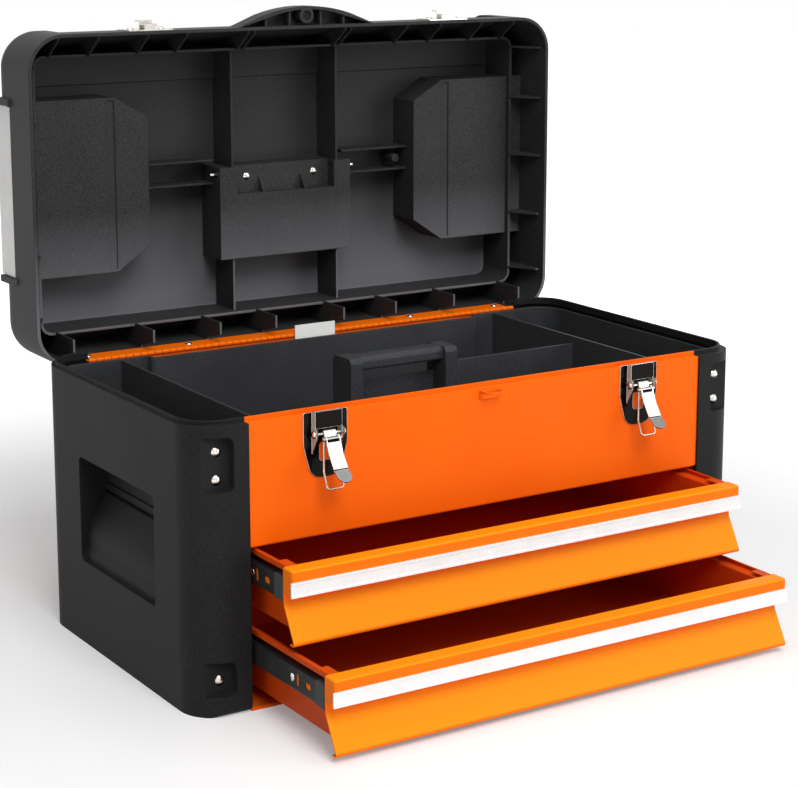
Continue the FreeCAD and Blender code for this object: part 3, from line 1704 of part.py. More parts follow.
def all_parts():
    """Every node and its shape."""
    right_cap = end_cap()
    parts = {
        "case_shell": case_shell(),
        "front_panel": front_panel(),
        "back_panel": back_panel(),
        "right_end_cap": right_cap,
        "left_end_cap": mirrored(right_cap),
        "cap_rivets": cap_rivets(),
        "lock_staple": lock_staple(),
        "hinge_body_leaf": hinge_body_leaf(),
        "hinge_pin": hinge_pin(),
        "hinge_rivets": hinge_rivets(),
        "hinge_centre_plate": hinge_centre_plate(),
        "latch_pins": latch_pins(),
        "latch_rivets": latch_rivets(),
        "case_runner_rivets": case_runner_rivets(),
        "lid_shell": lid_shell(),
        "hinge_lid_leaf": hinge_lid_leaf(),
        "hinge_screws": hinge_screws(),
        "catch_screws": catch_screws(),
        "handle_rod": handle_rod(),
        "handle_screws": handle_screws(),
        "organizer_pins": organizer_pins(),
        "carry_handle": carry_handle(),
        "right_organizer_cover": organizer_cover(1),
        "left_organizer_cover": organizer_cover(-1),
        "tote_tray": tote_tray(),
    }
    parts.update(latch_parts("right", 1))
    parts.update(latch_parts("left", -1))
    parts.update(drawer_parts("upper", upper_out, 0))
    parts.update(drawer_parts("lower", lower_out, drawer_pitch))
    return parts


def main():
    """Write one file per node."""
    os.makedirs("parts", exist_ok=True)
    for name, shape in all_parts().items():
        print(name, "solids", len(shape.Solids), "valid", shape.isValid(),
              "volume", round(shape.Volume))
        shape.exportStep(os.path.join("parts", name + ".step"))


main()
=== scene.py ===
"""Looks of the portable tool box with two drawers, a lift-out tray and a hinged lid.

Metres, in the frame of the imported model: +Z is up and the drawers open towards -Y. The rest pose
has the lid stood open, both drawers part way out and the latches hanging.
"""
import json
import logging
import math
from dataclasses import dataclass, field
from enum import Enum
from functools import cache

import bmesh
import bpy
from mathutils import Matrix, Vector


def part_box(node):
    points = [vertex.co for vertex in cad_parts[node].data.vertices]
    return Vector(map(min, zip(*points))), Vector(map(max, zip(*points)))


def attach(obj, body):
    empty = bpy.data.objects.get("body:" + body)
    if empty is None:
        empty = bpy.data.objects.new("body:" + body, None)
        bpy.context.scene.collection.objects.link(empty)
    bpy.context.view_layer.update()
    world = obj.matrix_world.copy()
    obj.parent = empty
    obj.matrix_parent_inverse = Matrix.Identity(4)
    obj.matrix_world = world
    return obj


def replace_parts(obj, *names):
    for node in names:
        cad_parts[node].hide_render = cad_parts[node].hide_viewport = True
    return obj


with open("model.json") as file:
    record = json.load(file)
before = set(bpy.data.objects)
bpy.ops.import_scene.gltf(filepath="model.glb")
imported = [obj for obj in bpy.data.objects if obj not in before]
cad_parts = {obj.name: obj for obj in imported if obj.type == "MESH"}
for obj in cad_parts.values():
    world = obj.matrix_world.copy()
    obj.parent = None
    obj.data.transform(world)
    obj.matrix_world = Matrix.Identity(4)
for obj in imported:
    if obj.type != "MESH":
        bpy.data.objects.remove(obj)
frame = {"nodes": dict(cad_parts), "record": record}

LOG = logging.getLogger("tool_box")
MM = 0.001
PICTURE_WIDTH = 798
SENSOR_WIDTH = 36.0
SHARP_ANGLE = math.radians(28)
BEVEL_SEGMENTS = 3
EDGE_SAMPLES = 6

SRGB_LIMIT = 0.04045
SRGB_SLOPE = 12.92
SRGB_OFFSET = 0.055
SRGB_POWER = 2.4

# Sockets of the Mix node for colours, which share their names with others
MIX_SHARE, MIX_FIRST, MIX_SECOND, MIX_RESULT = 0, 6, 7, 2

Colour = tuple[float, float, float, float]
Pair = tuple[float, float]
Triple = tuple[float, float, float]

WHITE: Colour = (1.0, 1.0, 1.0, 1.0)


def srgb(red: float, green: float, blue: float) -> Colour:
    """Linear colour of a display colour given from 0 to 255.

    Args:
        red: Display red.
        green: Display green.
        blue: Display blue.

    Returns:
        The linear colour with full alpha.
    """
    def linear(value: float) -> float:
        """Linear value of one channel."""
        curve = ((value / 255 + SRGB_OFFSET) / (1 + SRGB_OFFSET)) ** SRGB_POWER
        return curve if value / 255 > SRGB_LIMIT else value / 255 / SRGB_SLOPE

    return linear(red), linear(green), linear(blue), 1.0


class Term:
    """A value inside a material; Python operators on it add Math nodes."""

    def __init__(self, net: "Net", socket: bpy.types.NodeSocket) -> None:
        """Wrap a socket of the net."""
        self.net = net
        self.socket = socket

    def apply(self, operation: str, *others: "Term | float") -> "Term":
        """Run one Math operation on this value."""
        inputs = dict(enumerate((self, *others)))
        return self.net.term("ShaderNodeMath", {"operation": operation}, inputs)

    def __add__(self, other: "Term | float") -> "Term":
        """Sum."""
        return self.apply("ADD", other)

    def __sub__(self, other: "Term | float") -> "Term":
        """Difference."""
        return self.apply("SUBTRACT", other)

    def __rsub__(self, other: float) -> "Term":
        """Difference from a number."""
        return self.net.term("ShaderNodeMath", {"operation": "SUBTRACT"}, {0: other, 1: self})

    def __mul__(self, other: "Term | float") -> "Term":
        """Product."""
        return self.apply("MULTIPLY", other)

    __radd__ = __add__
    __rmul__ = __mul__

    def swing(self) -> "Term":
        """How far a pattern round one half lies from it."""
        return self - 0.5


@dataclass(frozen=True)
class Cloud:
    """A cloudy pattern: rough width of a cloud in metres, finer layers and their share."""

    width: float
    layers: float = 2.0
    share: float = 0.5


class Net:
    """Node tree of one material or of the world."""

    def __init__(self, tree: bpy.types.NodeTree) -> None:
        """Start from an empty tree."""
        tree.nodes.clear()
        self.tree = tree

    def node(self, kind: str, settings: dict | None = None,
             inputs: dict | None = None) -> bpy.types.Node:
        """Add one node.

        Args:
            kind: Type of the node.
            settings: Attributes, set before any socket.
            inputs: Values or links of its sockets by name or place.

        Returns:
            The new node.
        """
        made = self.tree.nodes.new(kind)
        for name, value in (settings or {}).items():
            setattr(made, name, value)
        for key, value in (inputs or {}).items():
            socket = made.inputs[key]
            if isinstance(value, Term):
                self.tree.links.new(value.socket, socket)
            else:
                socket.default_value = value
        return made

    def term(self, kind: str, settings: dict | None = None, inputs: dict | None = None,
             output: int | str = 0) -> Term:
        """Add one node and give one of its outputs as a value."""
        return Term(self, self.node(kind, settings, inputs).outputs[output])

    def facing(self, letter: str) -> Term:
        """One coordinate of the way the surface faces, fixed to the piece."""
        return self.axis(self.term("ShaderNodeTexCoord", output="Normal"), letter)

    def axis(self, place: Term, letter: str) -> Term:
        """One coordinate of a place."""
        return self.term("ShaderNodeSeparateXYZ", inputs={0: place}, output=letter)

    def noise(self, place: Term, cloud: Cloud) -> Term:
        """Cloudy pattern with values round one half."""
        return self.term("ShaderNodeTexNoise", inputs={
            "Vector": place, "Scale": 1 / cloud.width, "Detail": cloud.layers,
            "Roughness": cloud.share})

    def cells(self, place: Term, size: float) -> Term:
        """Distance to the nearest of scattered grains of the given size."""
        return self.term("ShaderNodeTexVoronoi", inputs={"Vector": place, "Scale": 1 / size})

    def ramp(self, value: Term, low: float, high: float) -> Term:
        """Spread the span from low to high over nought to one, and hold it there."""
        return self.term("ShaderNodeMapRange", {"clamp": True},
                         {"Value": value, "From Min": low, "From Max": high})

    def mix(self, share: Term, first: Colour | Term, second: Colour | Term) -> Term:
        """Blend two colours by a share."""
        return self.term("ShaderNodeMix", {"data_type": "RGBA"},
                         {MIX_SHARE: share, MIX_FIRST: first, MIX_SECOND: second},
                         output=MIX_RESULT)

    def between(self, kind: str, first: Term, second: Term | None = None) -> Term:
        """Length of one vector, or distance of two, by the kind of Vector Math."""
        inputs = {0: first, 1: second} if second else {0: first}
        return self.term("ShaderNodeVectorMath", {"operation": kind}, inputs, output="Value")

    def soft_edges(self, radius: float) -> Term:
        """Normal that runs softly round sharp edges."""
        return self.term("ShaderNodeBevel", {"samples": EDGE_SAMPLES}, {"Radius": radius})

    def bump(self, height: Term, depth: float, under: Term) -> Term:
        """Normal of a height pattern of a full depth in metres, laid on another normal."""
        return self.term("ShaderNodeBump", inputs={
            "Height": height, "Distance": depth, "Strength": 1.0, "Normal": under})

    def seen(self) -> Term:
        """One where a camera, a reflection or a clear piece looks on, nought for the light."""
        camera, mirrored, through = (self.term("ShaderNodeLightPath", output=name) for name in (
            "Is Camera Ray", "Is Glossy Ray", "Is Transmission Ray"))
        return camera + mirrored + through

    def surface(self, **inputs: object) -> None:
        """Add the surface shader and the output."""
        shader = self.term("ShaderNodeBsdfPrincipled", inputs={
            name.replace("_", " "): value for name, value in inputs.items()})
        self.node("ShaderNodeOutputMaterial", inputs={"Surface": shader})


def new_net(name: str) -> tuple[bpy.types.Material, Net, Term]:
    """Make an empty node material.

    Args:
        name: Name of the material.

    Returns:
        The material, its net and the coordinates that its patterns are laid over.
    """
    material = bpy.data.materials.new(name)
    material.use_nodes = True
    net = Net(material.node_tree)
    return material, net, net.term("ShaderNodeTexCoord", output="Object")


@dataclass(frozen=True)
class MouldedPlastic:
    """Black moulded plastic with a fine spark-eroded grain and a low even sheen.

    With a sheen colour, what faces the front grows paler from the first height to the second: a
    painted sheen, lighter towards the bottom.
    """

    name: str
    colour: Colour = srgb(21, 21, 21)
    speck: Colour = srgb(44, 44, 45)
    speck_span: Pair = (0.5, 0.85)
    roughness: float = 0.47
    uneven: float = 0.12
    grain: float = 1.1 * MM
    fine_share: float = 0.9
    cloud: Cloud = Cloud(60 * MM, 3.0)
    cloud_share: float = 0.25
    height_shares: Pair = (0.6, 0.7)
    depth: float = 0.05 * MM
    edge: float = 1.4 * MM
    gloss: float = 0.14
    # Painted sheen: a lighter colour laid on low, front-facing surfaces
    painted_sheen: Colour | None = None
    sheen_heights: Pair = (345 * MM, 258 * MM)
    sheen_facing: Pair = (-0.6, -0.9)
    sheen_share: float = 0.6

    def build(self) -> bpy.types.Material:
        """Make the material.

        Returns:
            The finished material.
        """
        material, net, place = new_net(self.name)
        grain = net.cells(place, self.grain)
        fine = net.noise(place, Cloud(self.grain * self.fine_share, 3.0, 0.65))
        cloud = net.noise(place, self.cloud)
        height = grain * self.height_shares[0] + fine * self.height_shares[1]
        shade = net.ramp(fine + cloud * self.cloud_share, *self.speck_span)
        colour = net.mix(shade, self.colour, self.speck)
        # Painted sheen: front-facing surfaces are painted lighter towards the bottom
        if self.painted_sheen:
            inside = net.ramp(net.facing("Y"), *self.sheen_facing)
            low = net.ramp(net.axis(place, "Z"), *self.sheen_heights)
            share = inside * low * (self.sheen_share + fine * self.sheen_share)
            colour = net.mix(share, colour, self.painted_sheen)
        net.surface(Base_Color=colour, Specular_IOR_Level=self.gloss,
                    Roughness=self.roughness + cloud.swing() * self.uneven
                    + fine.swing() * self.uneven,
                    Normal=net.bump(height, self.depth, net.soft_edges(self.edge)))
        return material


@dataclass(frozen=True)
class PaintedSteel:
    """Powder coat: a very even colour with a faint orange peel, and painted light that makes faces
    turning upwards paler.
    """

    name: str
    colour: Colour = srgb(255, 108, 6)
    deep: Colour = srgb(252, 101, 4)
    deep_span: Pair = (0.35, 0.65)
    deep_shares: Pair = (0.7, 0.3)
    # Painted light: the colour of faces that turn upwards
    open: Colour = srgb(255, 140, 14)
    upward_light_span: Pair = (0.12, 0.42)
    roughness: float = 0.46
    uneven: float = 0.1
    peel: Cloud = Cloud(2.4 * MM)
    cloud: Cloud = Cloud(90 * MM, 3.0)
    fine: Cloud = Cloud(0.7 * MM)
    fine_height: float = 0.3
    depth: float = 0.012 * MM
    edge: float = 0.8 * MM
    gloss: float = 0.1

    def build(self) -> bpy.types.Material:
        """Make the material.

        Returns:
            The finished material.
        """
        material, net, place = new_net(self.name)
        peel, cloud, fine = (net.noise(place, kind) for kind in (self.peel, self.cloud, self.fine))
        height = peel + fine * self.fine_height
        patch = cloud * self.deep_shares[0] + fine * self.deep_shares[1]
        plain = net.mix(net.ramp(patch, *self.deep_span), self.colour, self.deep)
        # Painted light: faces that turn upwards take the lighter open colour
        painted_upward_light = net.ramp(net.facing("Z"), *self.upward_light_span)
        net.surface(Base_Color=net.mix(painted_upward_light, plain, self.open),
                    Roughness=self.roughness + cloud.swing() * self.uneven,
                    Specular_IOR_Level=self.gloss,
                    Normal=net.bump(height, self.depth, net.soft_edges(self.edge)))
        return material


@dataclass(frozen=True)
class PlatedSteel:
    """Bright plating over pressed steel, with faint rolling lines and painted shade that darkens its
    undersides.
    """

    name: str
    colour: Colour = srgb(226, 222, 216)
    dull: Colour = srgb(186, 180, 172)
    dull_span: Pair = (0.35, 0.7)
    # Painted shade: the colour of faces that turn downwards
    under: Colour = srgb(74, 70, 67)
    underside_shade_span: Pair = (-0.1, -0.4)
    underside_shade_uneven: float = 0.3
    roughness: float = 0.16
    mottle: float = 0.18
    cloud: Cloud = Cloud(9 * MM, 4.0, 0.6)
    line: Cloud = Cloud(0.5 * MM)
    depth: float = 0.004 * MM
    edge: float = 0.35 * MM

    def build(self) -> bpy.types.Material:
        """Make the material.

        Returns:
            The finished material.
        """
        material, net, place = new_net(self.name)
        cloud, line = (net.noise(place, kind) for kind in (self.cloud, self.line))
        upper = net.mix(net.ramp(cloud, *self.dull_span), self.colour, self.dull)
        # Painted shade: faces that turn downwards are darkened towards the under colour
        painted_underside_shade = net.ramp(net.facing("Z") + cloud.swing() * self.underside_shade_uneven, *self.underside_shade_span)
        net.surface(Base_Color=net.mix(painted_underside_shade, upper, self.under), Metallic=1.0,
                    Roughness=self.roughness + cloud.swing() * self.mottle,
                    Normal=net.bump(line, self.depth, net.soft_edges(self.edge)))
        return material


@dataclass(frozen=True)
class MirrorPlate:
    """Polished plate with its light painted on: a painted dark reflection on its flats, a lighter
    painted reflection with a satin on its cheeks, and painted highlights on its rims.
    """

    name: str
    # Painted reflections: flat is a dark reflection on the flats, bend a lighter one on the cheeks
    # that face sideways, rim a highlight on the edges
    flat: Colour = srgb(26, 25, 24)
    bend: Colour = srgb(206, 193, 180)
    cheek_reflection_span: Pair = (0.2, 0.5)
    cheek_reflection_uneven: float = 0.2
    bend_rough: float = 0.3
    bend_satin: float = 0.9
    rim: Colour = srgb(235, 228, 220)
    rim_highlight_span: Pair = (0.08, 0.35)
    roughness: float = 0.1
    cloud: Cloud = Cloud(8 * MM, 3.0)
    fine: Cloud = Cloud(0.6 * MM)
    uneven: Pair = (0.08, 0.04)
    depth: float = 0.003 * MM
    edge: float = 0.5 * MM

    def build(self) -> bpy.types.Material:
        """Make the material.

        Returns:
            The finished material.
        """
        material, net, place = new_net(self.name)
        cloud, fine = (net.noise(place, kind) for kind in (self.cloud, self.fine))
        soft = net.soft_edges(self.edge)
        # Painted highlight: where the soft-edge normal turns from the face's own, the rim colour is
        # laid on
        turned = net.between("DISTANCE", net.term("ShaderNodeNewGeometry", output="Normal"), soft)
        # Painted reflection: cheeks that face sideways take the lighter bend colour, the rest the
        # dark flat colour
        facing = net.facing("X").apply("ABSOLUTE") + cloud.swing() * self.cheek_reflection_uneven
        cheek = net.ramp(facing, *self.cheek_reflection_span)
        body = net.mix(cheek, self.flat, self.bend)
        net.surface(Base_Color=net.mix(net.ramp(turned, *self.rim_highlight_span), body, self.rim),
                    Metallic=1.0 - cheek * self.bend_satin,
                    Roughness=self.roughness + cloud * self.uneven[0] + fine * self.uneven[1]
                    + cheek * self.bend_rough,
                    Normal=net.bump(fine, self.depth, soft))
        return material


@dataclass(frozen=True)
class EvenCoat:
    """Nearly even coat in two close colours with a fine grain."""

    name: str
    colour: Colour = WHITE
    second: Colour = WHITE
    second_span: Pair = (0.35, 0.7)
    cloud: Cloud = Cloud(14 * MM, 3.0)
    grain: Cloud = Cloud(0.5 * MM)
    depth: float = 0.01 * MM
    edge: float = 0.5 * MM
    roughness: float = 0.4
    grain_rough: float = 0.0
    cloud_rough: float = 0.0
    gloss: float = 0.4
    cover: float = 1.0
    cover_uneven: float = 0.1

    def build(self) -> bpy.types.Material:
        """Make the material.

        Returns:
            The finished material.
        """
        material, net, place = new_net(self.name)
        cloud, grain = (net.noise(place, kind) for kind in (self.cloud, self.grain))
        inputs = {}
        if self.cover < 1:
            inputs["Alpha"] = self.cover + cloud.swing() * self.cover_uneven
        shade = net.ramp(cloud, *self.second_span)
        net.surface(Base_Color=net.mix(shade, self.colour, self.second),
                    Roughness=self.roughness + grain * self.grain_rough
                    + cloud.swing() * self.cloud_rough,
                    Specular_IOR_Level=self.gloss,
                    Normal=net.bump(grain, self.depth, net.soft_edges(self.edge)), **inputs)
        return material


@dataclass(frozen=True)
class BlackedSteel(EvenCoat):
    """Black coated runner steel with a low sheen."""

    colour: Colour = srgb(40, 41, 41)
    second: Colour = srgb(54, 55, 55)
    second_span: Pair = (0.5, 0.9)
    cloud: Cloud = Cloud(22 * MM, 4.0, 0.6)
    grain: Cloud = Cloud(0.8 * MM)
    depth: float = 0.012 * MM
    cloud_rough: float = 0.2
    gloss: float = 0.16


@dataclass(frozen=True)
class Rubber(EvenCoat):
    """Dull black rubber of the runner stops, dusty by its grain."""

    colour: Colour = srgb(56, 60, 62)
    second: Colour = srgb(74, 76, 76)
    second_span: Pair = (0.4, 0.7)
    cloud: Cloud = Cloud(0.6 * MM, 3.0, 0.6)
    grain: Cloud = Cloud(0.6 * MM, 3.0, 0.6)
    depth: float = 0.03 * MM
    roughness: float = 0.62
    grain_rough: float = 0.12
    gloss: float = 0.25


@dataclass(frozen=True)
class StripPlastic(EvenCoat):
    """White extruded plastic of the label strips."""

    colour: Colour = srgb(251, 251, 251)
    second: Colour = srgb(243, 243, 244)
    depth: float = 0.008 * MM
    edge: float = 0.25 * MM
    roughness: float = 0.36
    grain_rough: float = 0.08


@dataclass(frozen=True)
class FrostedCover(EvenCoat):
    """Milky clear plastic of the organizer covers."""

    colour: Colour = srgb(252, 248, 245)
    second: Colour = srgb(255, 253, 251)
    second_span: Pair = (0.3, 0.7)
    cloud: Cloud = Cloud(26 * MM, 3.0)
    grain: Cloud = Cloud(0.9 * MM, 3.0, 0.6)
    depth: float = 0.03 * MM
    edge: float = 0.6 * MM
    roughness: float = 0.34
    grain_rough: float = 0.16
    gloss: float = 0.45
    cover: float = 0.93


Finish = MouldedPlastic | PaintedSteel | PlatedSteel | MirrorPlate | EvenCoat

SLOTS: dict[str, Finish] = {finish.name: finish for finish in (
    MouldedPlastic("cap_plastic", colour=srgb(25, 25, 25), roughness=0.54, gloss=0.09),
    # The lid's sheen colour is a painted sheen low on its front-facing inside
    MouldedPlastic("lid_plastic", colour=srgb(38, 38, 39), speck=srgb(68, 68, 70), roughness=0.5,
                   depth=0.06 * MM, gloss=0.1, painted_sheen=srgb(112, 113, 117)),
    MouldedPlastic("tray_plastic", colour=srgb(45, 46, 48), speck=srgb(74, 75, 77),
                   roughness=0.45, gloss=0.2),
    MouldedPlastic("handle_plastic", colour=srgb(24, 24, 24), grain=0.8 * MM),
    # The open colours are painted light on faces that turn upwards
    PaintedSteel("orange_steel", open=srgb(255, 116, 8)),
    # drawer_orange is a lighter copy of the orange paint: painted light on the drawer fronts
    PaintedSteel("drawer_orange", colour=srgb(255, 124, 10), deep=srgb(255, 118, 8),
                 open=srgb(255, 151, 14)),
    # drawer_inside is a darker copy of the orange paint: painted shade over the drawer tubs
    PaintedSteel("drawer_inside", colour=srgb(214, 76, 14), deep=srgb(204, 69, 11),
                 open=srgb(218, 78, 14)),
    StripPlastic("label_white"),
    PlatedSteel("bright_steel"),
    BlackedSteel("runner_black"),
    PlatedSteel("cage_steel", colour=srgb(180, 178, 170), roughness=0.3),
    Rubber("bumper_rubber"),
    FrostedCover("clear_cover"),
)}
# The latch base plates take MirrorPlate, with its painted reflections and highlights
PLATES = MirrorPlate("latch_plate")
LEVER_PLATE = PlatedSteel("lever_plate", colour=srgb(250, 249, 247), dull=srgb(236, 234, 231),
                          roughness=0.3, mottle=0.04)
WIRE = PlatedSteel("bail_wire", colour=srgb(214, 188, 172), dull=srgb(178, 154, 142),
                   roughness=0.2)
# Painted reflections: the lever's neck and tip are darker copies of its plating, a painted dark
# reflection on the neck and a painted grey one on the tip
NECK_PAINTED_REFLECTION = PlatedSteel("lever_neck", colour=srgb(58, 56, 54), dull=srgb(44, 43, 42), roughness=0.25)
TIP_PAINTED_REFLECTION = PlatedSteel("lever_tip", colour=srgb(150, 150, 149), dull=srgb(138, 138, 137),
                        roughness=0.34, mottle=0.04)
HINGE_PLATE = StripPlastic("hinge_plate", colour=srgb(254, 254, 253),
                           second=srgb(248, 248, 246))


@cache
def built(finish: Finish) -> bpy.types.Material:
    """Material of a finish, made once."""
    return finish.build()


class Side(Enum):
    """The two ends of the tool box, as seen from the front."""

    RIGHT = 1
    LEFT = -1

    @property
    def word(self) -> str:
        """Front of the names on this side."""
        return self.name.lower()


class Axis(Enum):
    """The axes that an outline can run along."""

    X = 0
    Y = 1
    Z = 2


class Level(Enum):
    """The two drawers."""

    UPPER = "upper"
    LOWER = "lower"


@dataclass
class Sketch:
    """A mesh under way, with the few shapes that the pieces are made of."""

    name: str
    work: bmesh.types.BMesh = field(default_factory=bmesh.new)
    round_sides: int = 32

    def skin(self, rings: list[list[Vector]]) -> None:
        """Cover a row of closed rings of the same count, and cap both ends.

        Args:
            rings: Outlines one after the other.
        """
        made = [[self.work.verts.new(point) for point in ring] for ring in rings]
        count = len(made[0])
        for one, two in zip(made, made[1:]):
            for index in range(count):
                step = (index + 1) % count
                self.work.faces.new((one[index], one[step], two[step], two[index]))
        self.work.faces.new(made[0])
        self.work.faces.new(reversed(made[-1]))

    def run(self, axis: Axis, outline: list[Pair], start: float, end: float) -> None:
        """Run an outline, given by its other two coordinates in order, along an axis."""
        at = axis.value
        self.skin([[Vector((*pair[:at], place, *pair[at:])) for pair in outline]
                   for place in (start, end)])

    def turned(self, axis: Vector, centre: Vector, outline: list[Pair]) -> None:
        """Turn an outline of lengths and radii round an axis.

        Args:
            axis: Direction of the axis.
            centre: Start of the axis.
            outline: Place along the axis and radius, one after the other.
        """
        side = axis.orthogonal().normalized()
        other = axis.cross(side)
        rings = []
        for along, radius in outline:
            ring = []
            for index in range(self.round_sides):
                angle = 2 * math.pi * index / self.round_sides
                ring.append(centre + axis * along
                            + (side * math.cos(angle) + other * math.sin(angle)) * radius)
            rings.append(ring)
        self.skin(rings)

    def finish(self, body: str, slot: str, round_off: float = 0.0,
               look: Finish | None = None) -> bpy.types.Object:
        """Turn the mesh into a piece that rides on a body.

        Args:
            body: Body that it rides on.
            slot: Material slot of the record.
            round_off: Width of the bevel on its sharp edges.
            look: Its finish, where it isn't the slot's.

        Returns:
            The new object.
        """
        bmesh.ops.recalc_face_normals(self.work, faces=self.work.faces)
        mesh = bpy.data.meshes.new(self.name)
        self.work.to_mesh(mesh)
        self.work.free()
        mesh.shade_smooth()
        piece = bpy.data.objects.new(self.name, mesh)
        bpy.context.scene.collection.objects.link(piece)
        mesh.materials.append(built(look or SLOTS[slot]))
        if round_off:
            bevel = piece.modifiers.new("round_off", "BEVEL")
            bevel.width = round_off
            bevel.segments = BEVEL_SEGMENTS
            bevel.limit_method = "ANGLE"
            bevel.angle_limit = SHARP_ANGLE
        else:
            mesh.set_sharp_from_angle(angle=SHARP_ANGLE)
        flat = piece.modifiers.new("even_faces", "WEIGHTED_NORMAL")
        flat.keep_sharp = True
        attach(piece, body)
        LOG.info("piece %s rides on %s", self.name, body)
        return piece


def bent(corners: list[Triple], steps: int = 7) -> list[Pair]:
    """Path through corners, each rounded by its own radius.

    Args:
        corners: Depth, height and radius of every corner.
        steps: Number of runs in each bend.

    Returns:
        Points of the path.
    """
    path = [corners[0][:2]]
    for before, here, after in zip(corners, corners[1:], corners[2:]):
        spot = Vector(here[:2])
        back = (Vector(before[:2]) - spot).normalized()
        on = (Vector(after[:2]) - spot).normalized()
        half = back.angle(on) / 2
        reach = here[2] / math.tan(half)
        start = spot + back * reach
        end = spot + on * reach
        for index in range(steps + 1):
            share = index / steps
            point = (start * (1 - share) ** 2 + spot * (2 * share * (1 - share))
                     + end * share ** 2)
            path.append((point.x, point.y))
    path.append(corners[-1][:2])
    return path


def thick(path: list[Pair], sheet: float) -> list[Pair]:
    """Close a path into a sheet laid on its left side.

    Args:
        path: Points of one face.
        sheet: Thickness of the sheet.

    Returns:
        Points of the closed outline.
    """
    points = [Vector(point) for point in path]
    inner = []
    for index, point in enumerate(points):
        before = points[max(index - 1, 0)]
        after = points[min(index + 1, len(points) - 1)]
        run = (after - before).normalized()
        inner.append(point + Vector((-run.y, run.x)) * sheet)
    return [tuple(point) for point in points + inner[::-1]]


def dome(radius: float, height: float, reach: float, steps: int) -> list[Pair]:
    """Outline of a domed head.

    Args:
        radius: Radius at its foot.
        height: Height of the full dome that it is cut from.
        reach: Angle from the foot to its flat top, in degrees.
        steps: Number of runs.

    Returns:
        Height over the foot and radius, one after the other.
    """
    angles = [math.radians(reach * index / steps) for index in range(steps + 1)]
    return [(height * math.sin(angle), radius * math.cos(angle)) for angle in angles]


@dataclass
class DrawerFront:
    """Folded front of a drawer: lip with rounded ends, recess, cove, slope and rolled hem."""

    level: Level
    sheet: float = 1.0 * MM
    lip_depth: float = 12.7 * MM
    lip_bend: float = 2.2 * MM
    lip_crease: float = 0.3 * MM
    strip_low: float = 20.5 * MM
    cove_low: float = 29.1 * MM
    cove_bend: float = 9.0 * MM
    hem_out: float = 4.1 * MM
    hem_bend: float = 3.2 * MM
    hem_return: float = 8.0 * MM
    hem_rise: float = 1.2 * MM
    pull_steps: int = 12
    end_gap: float = 1.2 * MM
    end_round: float = 1.8 * MM
    end_lap: float = 0.1 * MM
    end_steps: int = 7

    def build(self) -> None:
        """Fold the sheet and close its lip's ends with plates that turn softly into the front."""
        node = self.level.value + "_drawer_front"
        low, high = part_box(node)
        back = high.y
        lip = low.y + self.hem_out
        top = high.z
        recess = lip + self.lip_depth
        sketch = Sketch(node + "_folded")
        half = high.x - self.end_gap
        inner = half - self.end_round
        lip_path = bent([(back, top, 0.0), (lip, top, self.lip_bend),
                         (lip, top - self.strip_low, self.lip_crease),
                         (recess, top - self.strip_low, 0.0)])
        sketch.run(Axis.X, thick(lip_path, self.sheet), -inner, inner)
        pull_path = bent([(recess, top - self.strip_low + self.sheet, 0.0),
                          (recess, top - self.cove_low, self.cove_bend),
                          (low.y, low.z, self.hem_bend),
                          (low.y + self.hem_return, low.z + self.hem_rise, 0.0)],
                         self.pull_steps)
        sketch.run(Axis.X, thick(pull_path, self.sheet), -half, half)
        for side in Side:
            rings = []
            for index in range(self.end_steps + 1):
                angle = math.radians(90 * index / self.end_steps)
                inset = self.end_round * (1 - math.cos(angle))
                x = side.value * (half - self.end_round * (1 - math.sin(angle)))
                foot = top - self.strip_low + inset
                outline = bent([
                    (back, foot, 0.0), (back, top - inset, 0.0),
                    (lip + inset, top - inset, self.lip_bend),
                    (lip + inset, foot, self.lip_crease), (back - self.end_lap, foot, 0.0)])
                rings.append([Vector((x, y, z)) for y, z in outline])
            sketch.skin(rings)
        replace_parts(sketch.finish(self.level.value + "_drawer", "drawer_orange"), node)


@dataclass
class DrawerTub:
    """Folded floor and sides of a drawer, flared above the rails, with narrow top flanges."""

    level: Level
    sheet: float = 1.0 * MM
    floor_bend: float = 1.5 * MM
    flare: float = 8.4 * MM
    flare_height: float = 4.6 * MM
    flange: float = 2.2 * MM
    fold: float = 0.8 * MM
    fold_steps: int = 4
    tab_width: float = 9.0 * MM
    tab_length: float = 16.0 * MM
    tab_inset: float = 0.3 * MM
    tab_drop: float = 0.1 * MM

    def build(self) -> None:
        """Fold the sheet and lay the corner tabs."""
        node = self.level.value + "_drawer_box"
        low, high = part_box(node)
        side = high.x
        wide = side + self.flare
        step = high.z - self.flare_height
        path = bent([(0.0, low.z, 0.0), (side, low.z, self.floor_bend), (side, step, self.fold),
                     (wide, step, self.fold), (wide, high.z, self.fold),
                     (wide - self.flange, high.z, 0.0)], self.fold_steps)
        both = [(-x, z) for x, z in path[:0:-1]] + path[1:]
        sketch = Sketch(node + "_folded")
        sketch.run(Axis.Y, thick(both, self.sheet), low.y, high.y)
        for hand in (-1, 1):
            near, far = sorted((hand * (wide - self.tab_inset), hand * (wide - self.tab_width)))
            back = low.y + self.tab_length
            sketch.run(Axis.Z, [(near, low.y), (far, low.y), (far, back), (near, back)],
                       high.z - self.sheet, high.z - self.tab_drop)
        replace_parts(sketch.finish(self.level.value + "_drawer", "drawer_inside"), node)


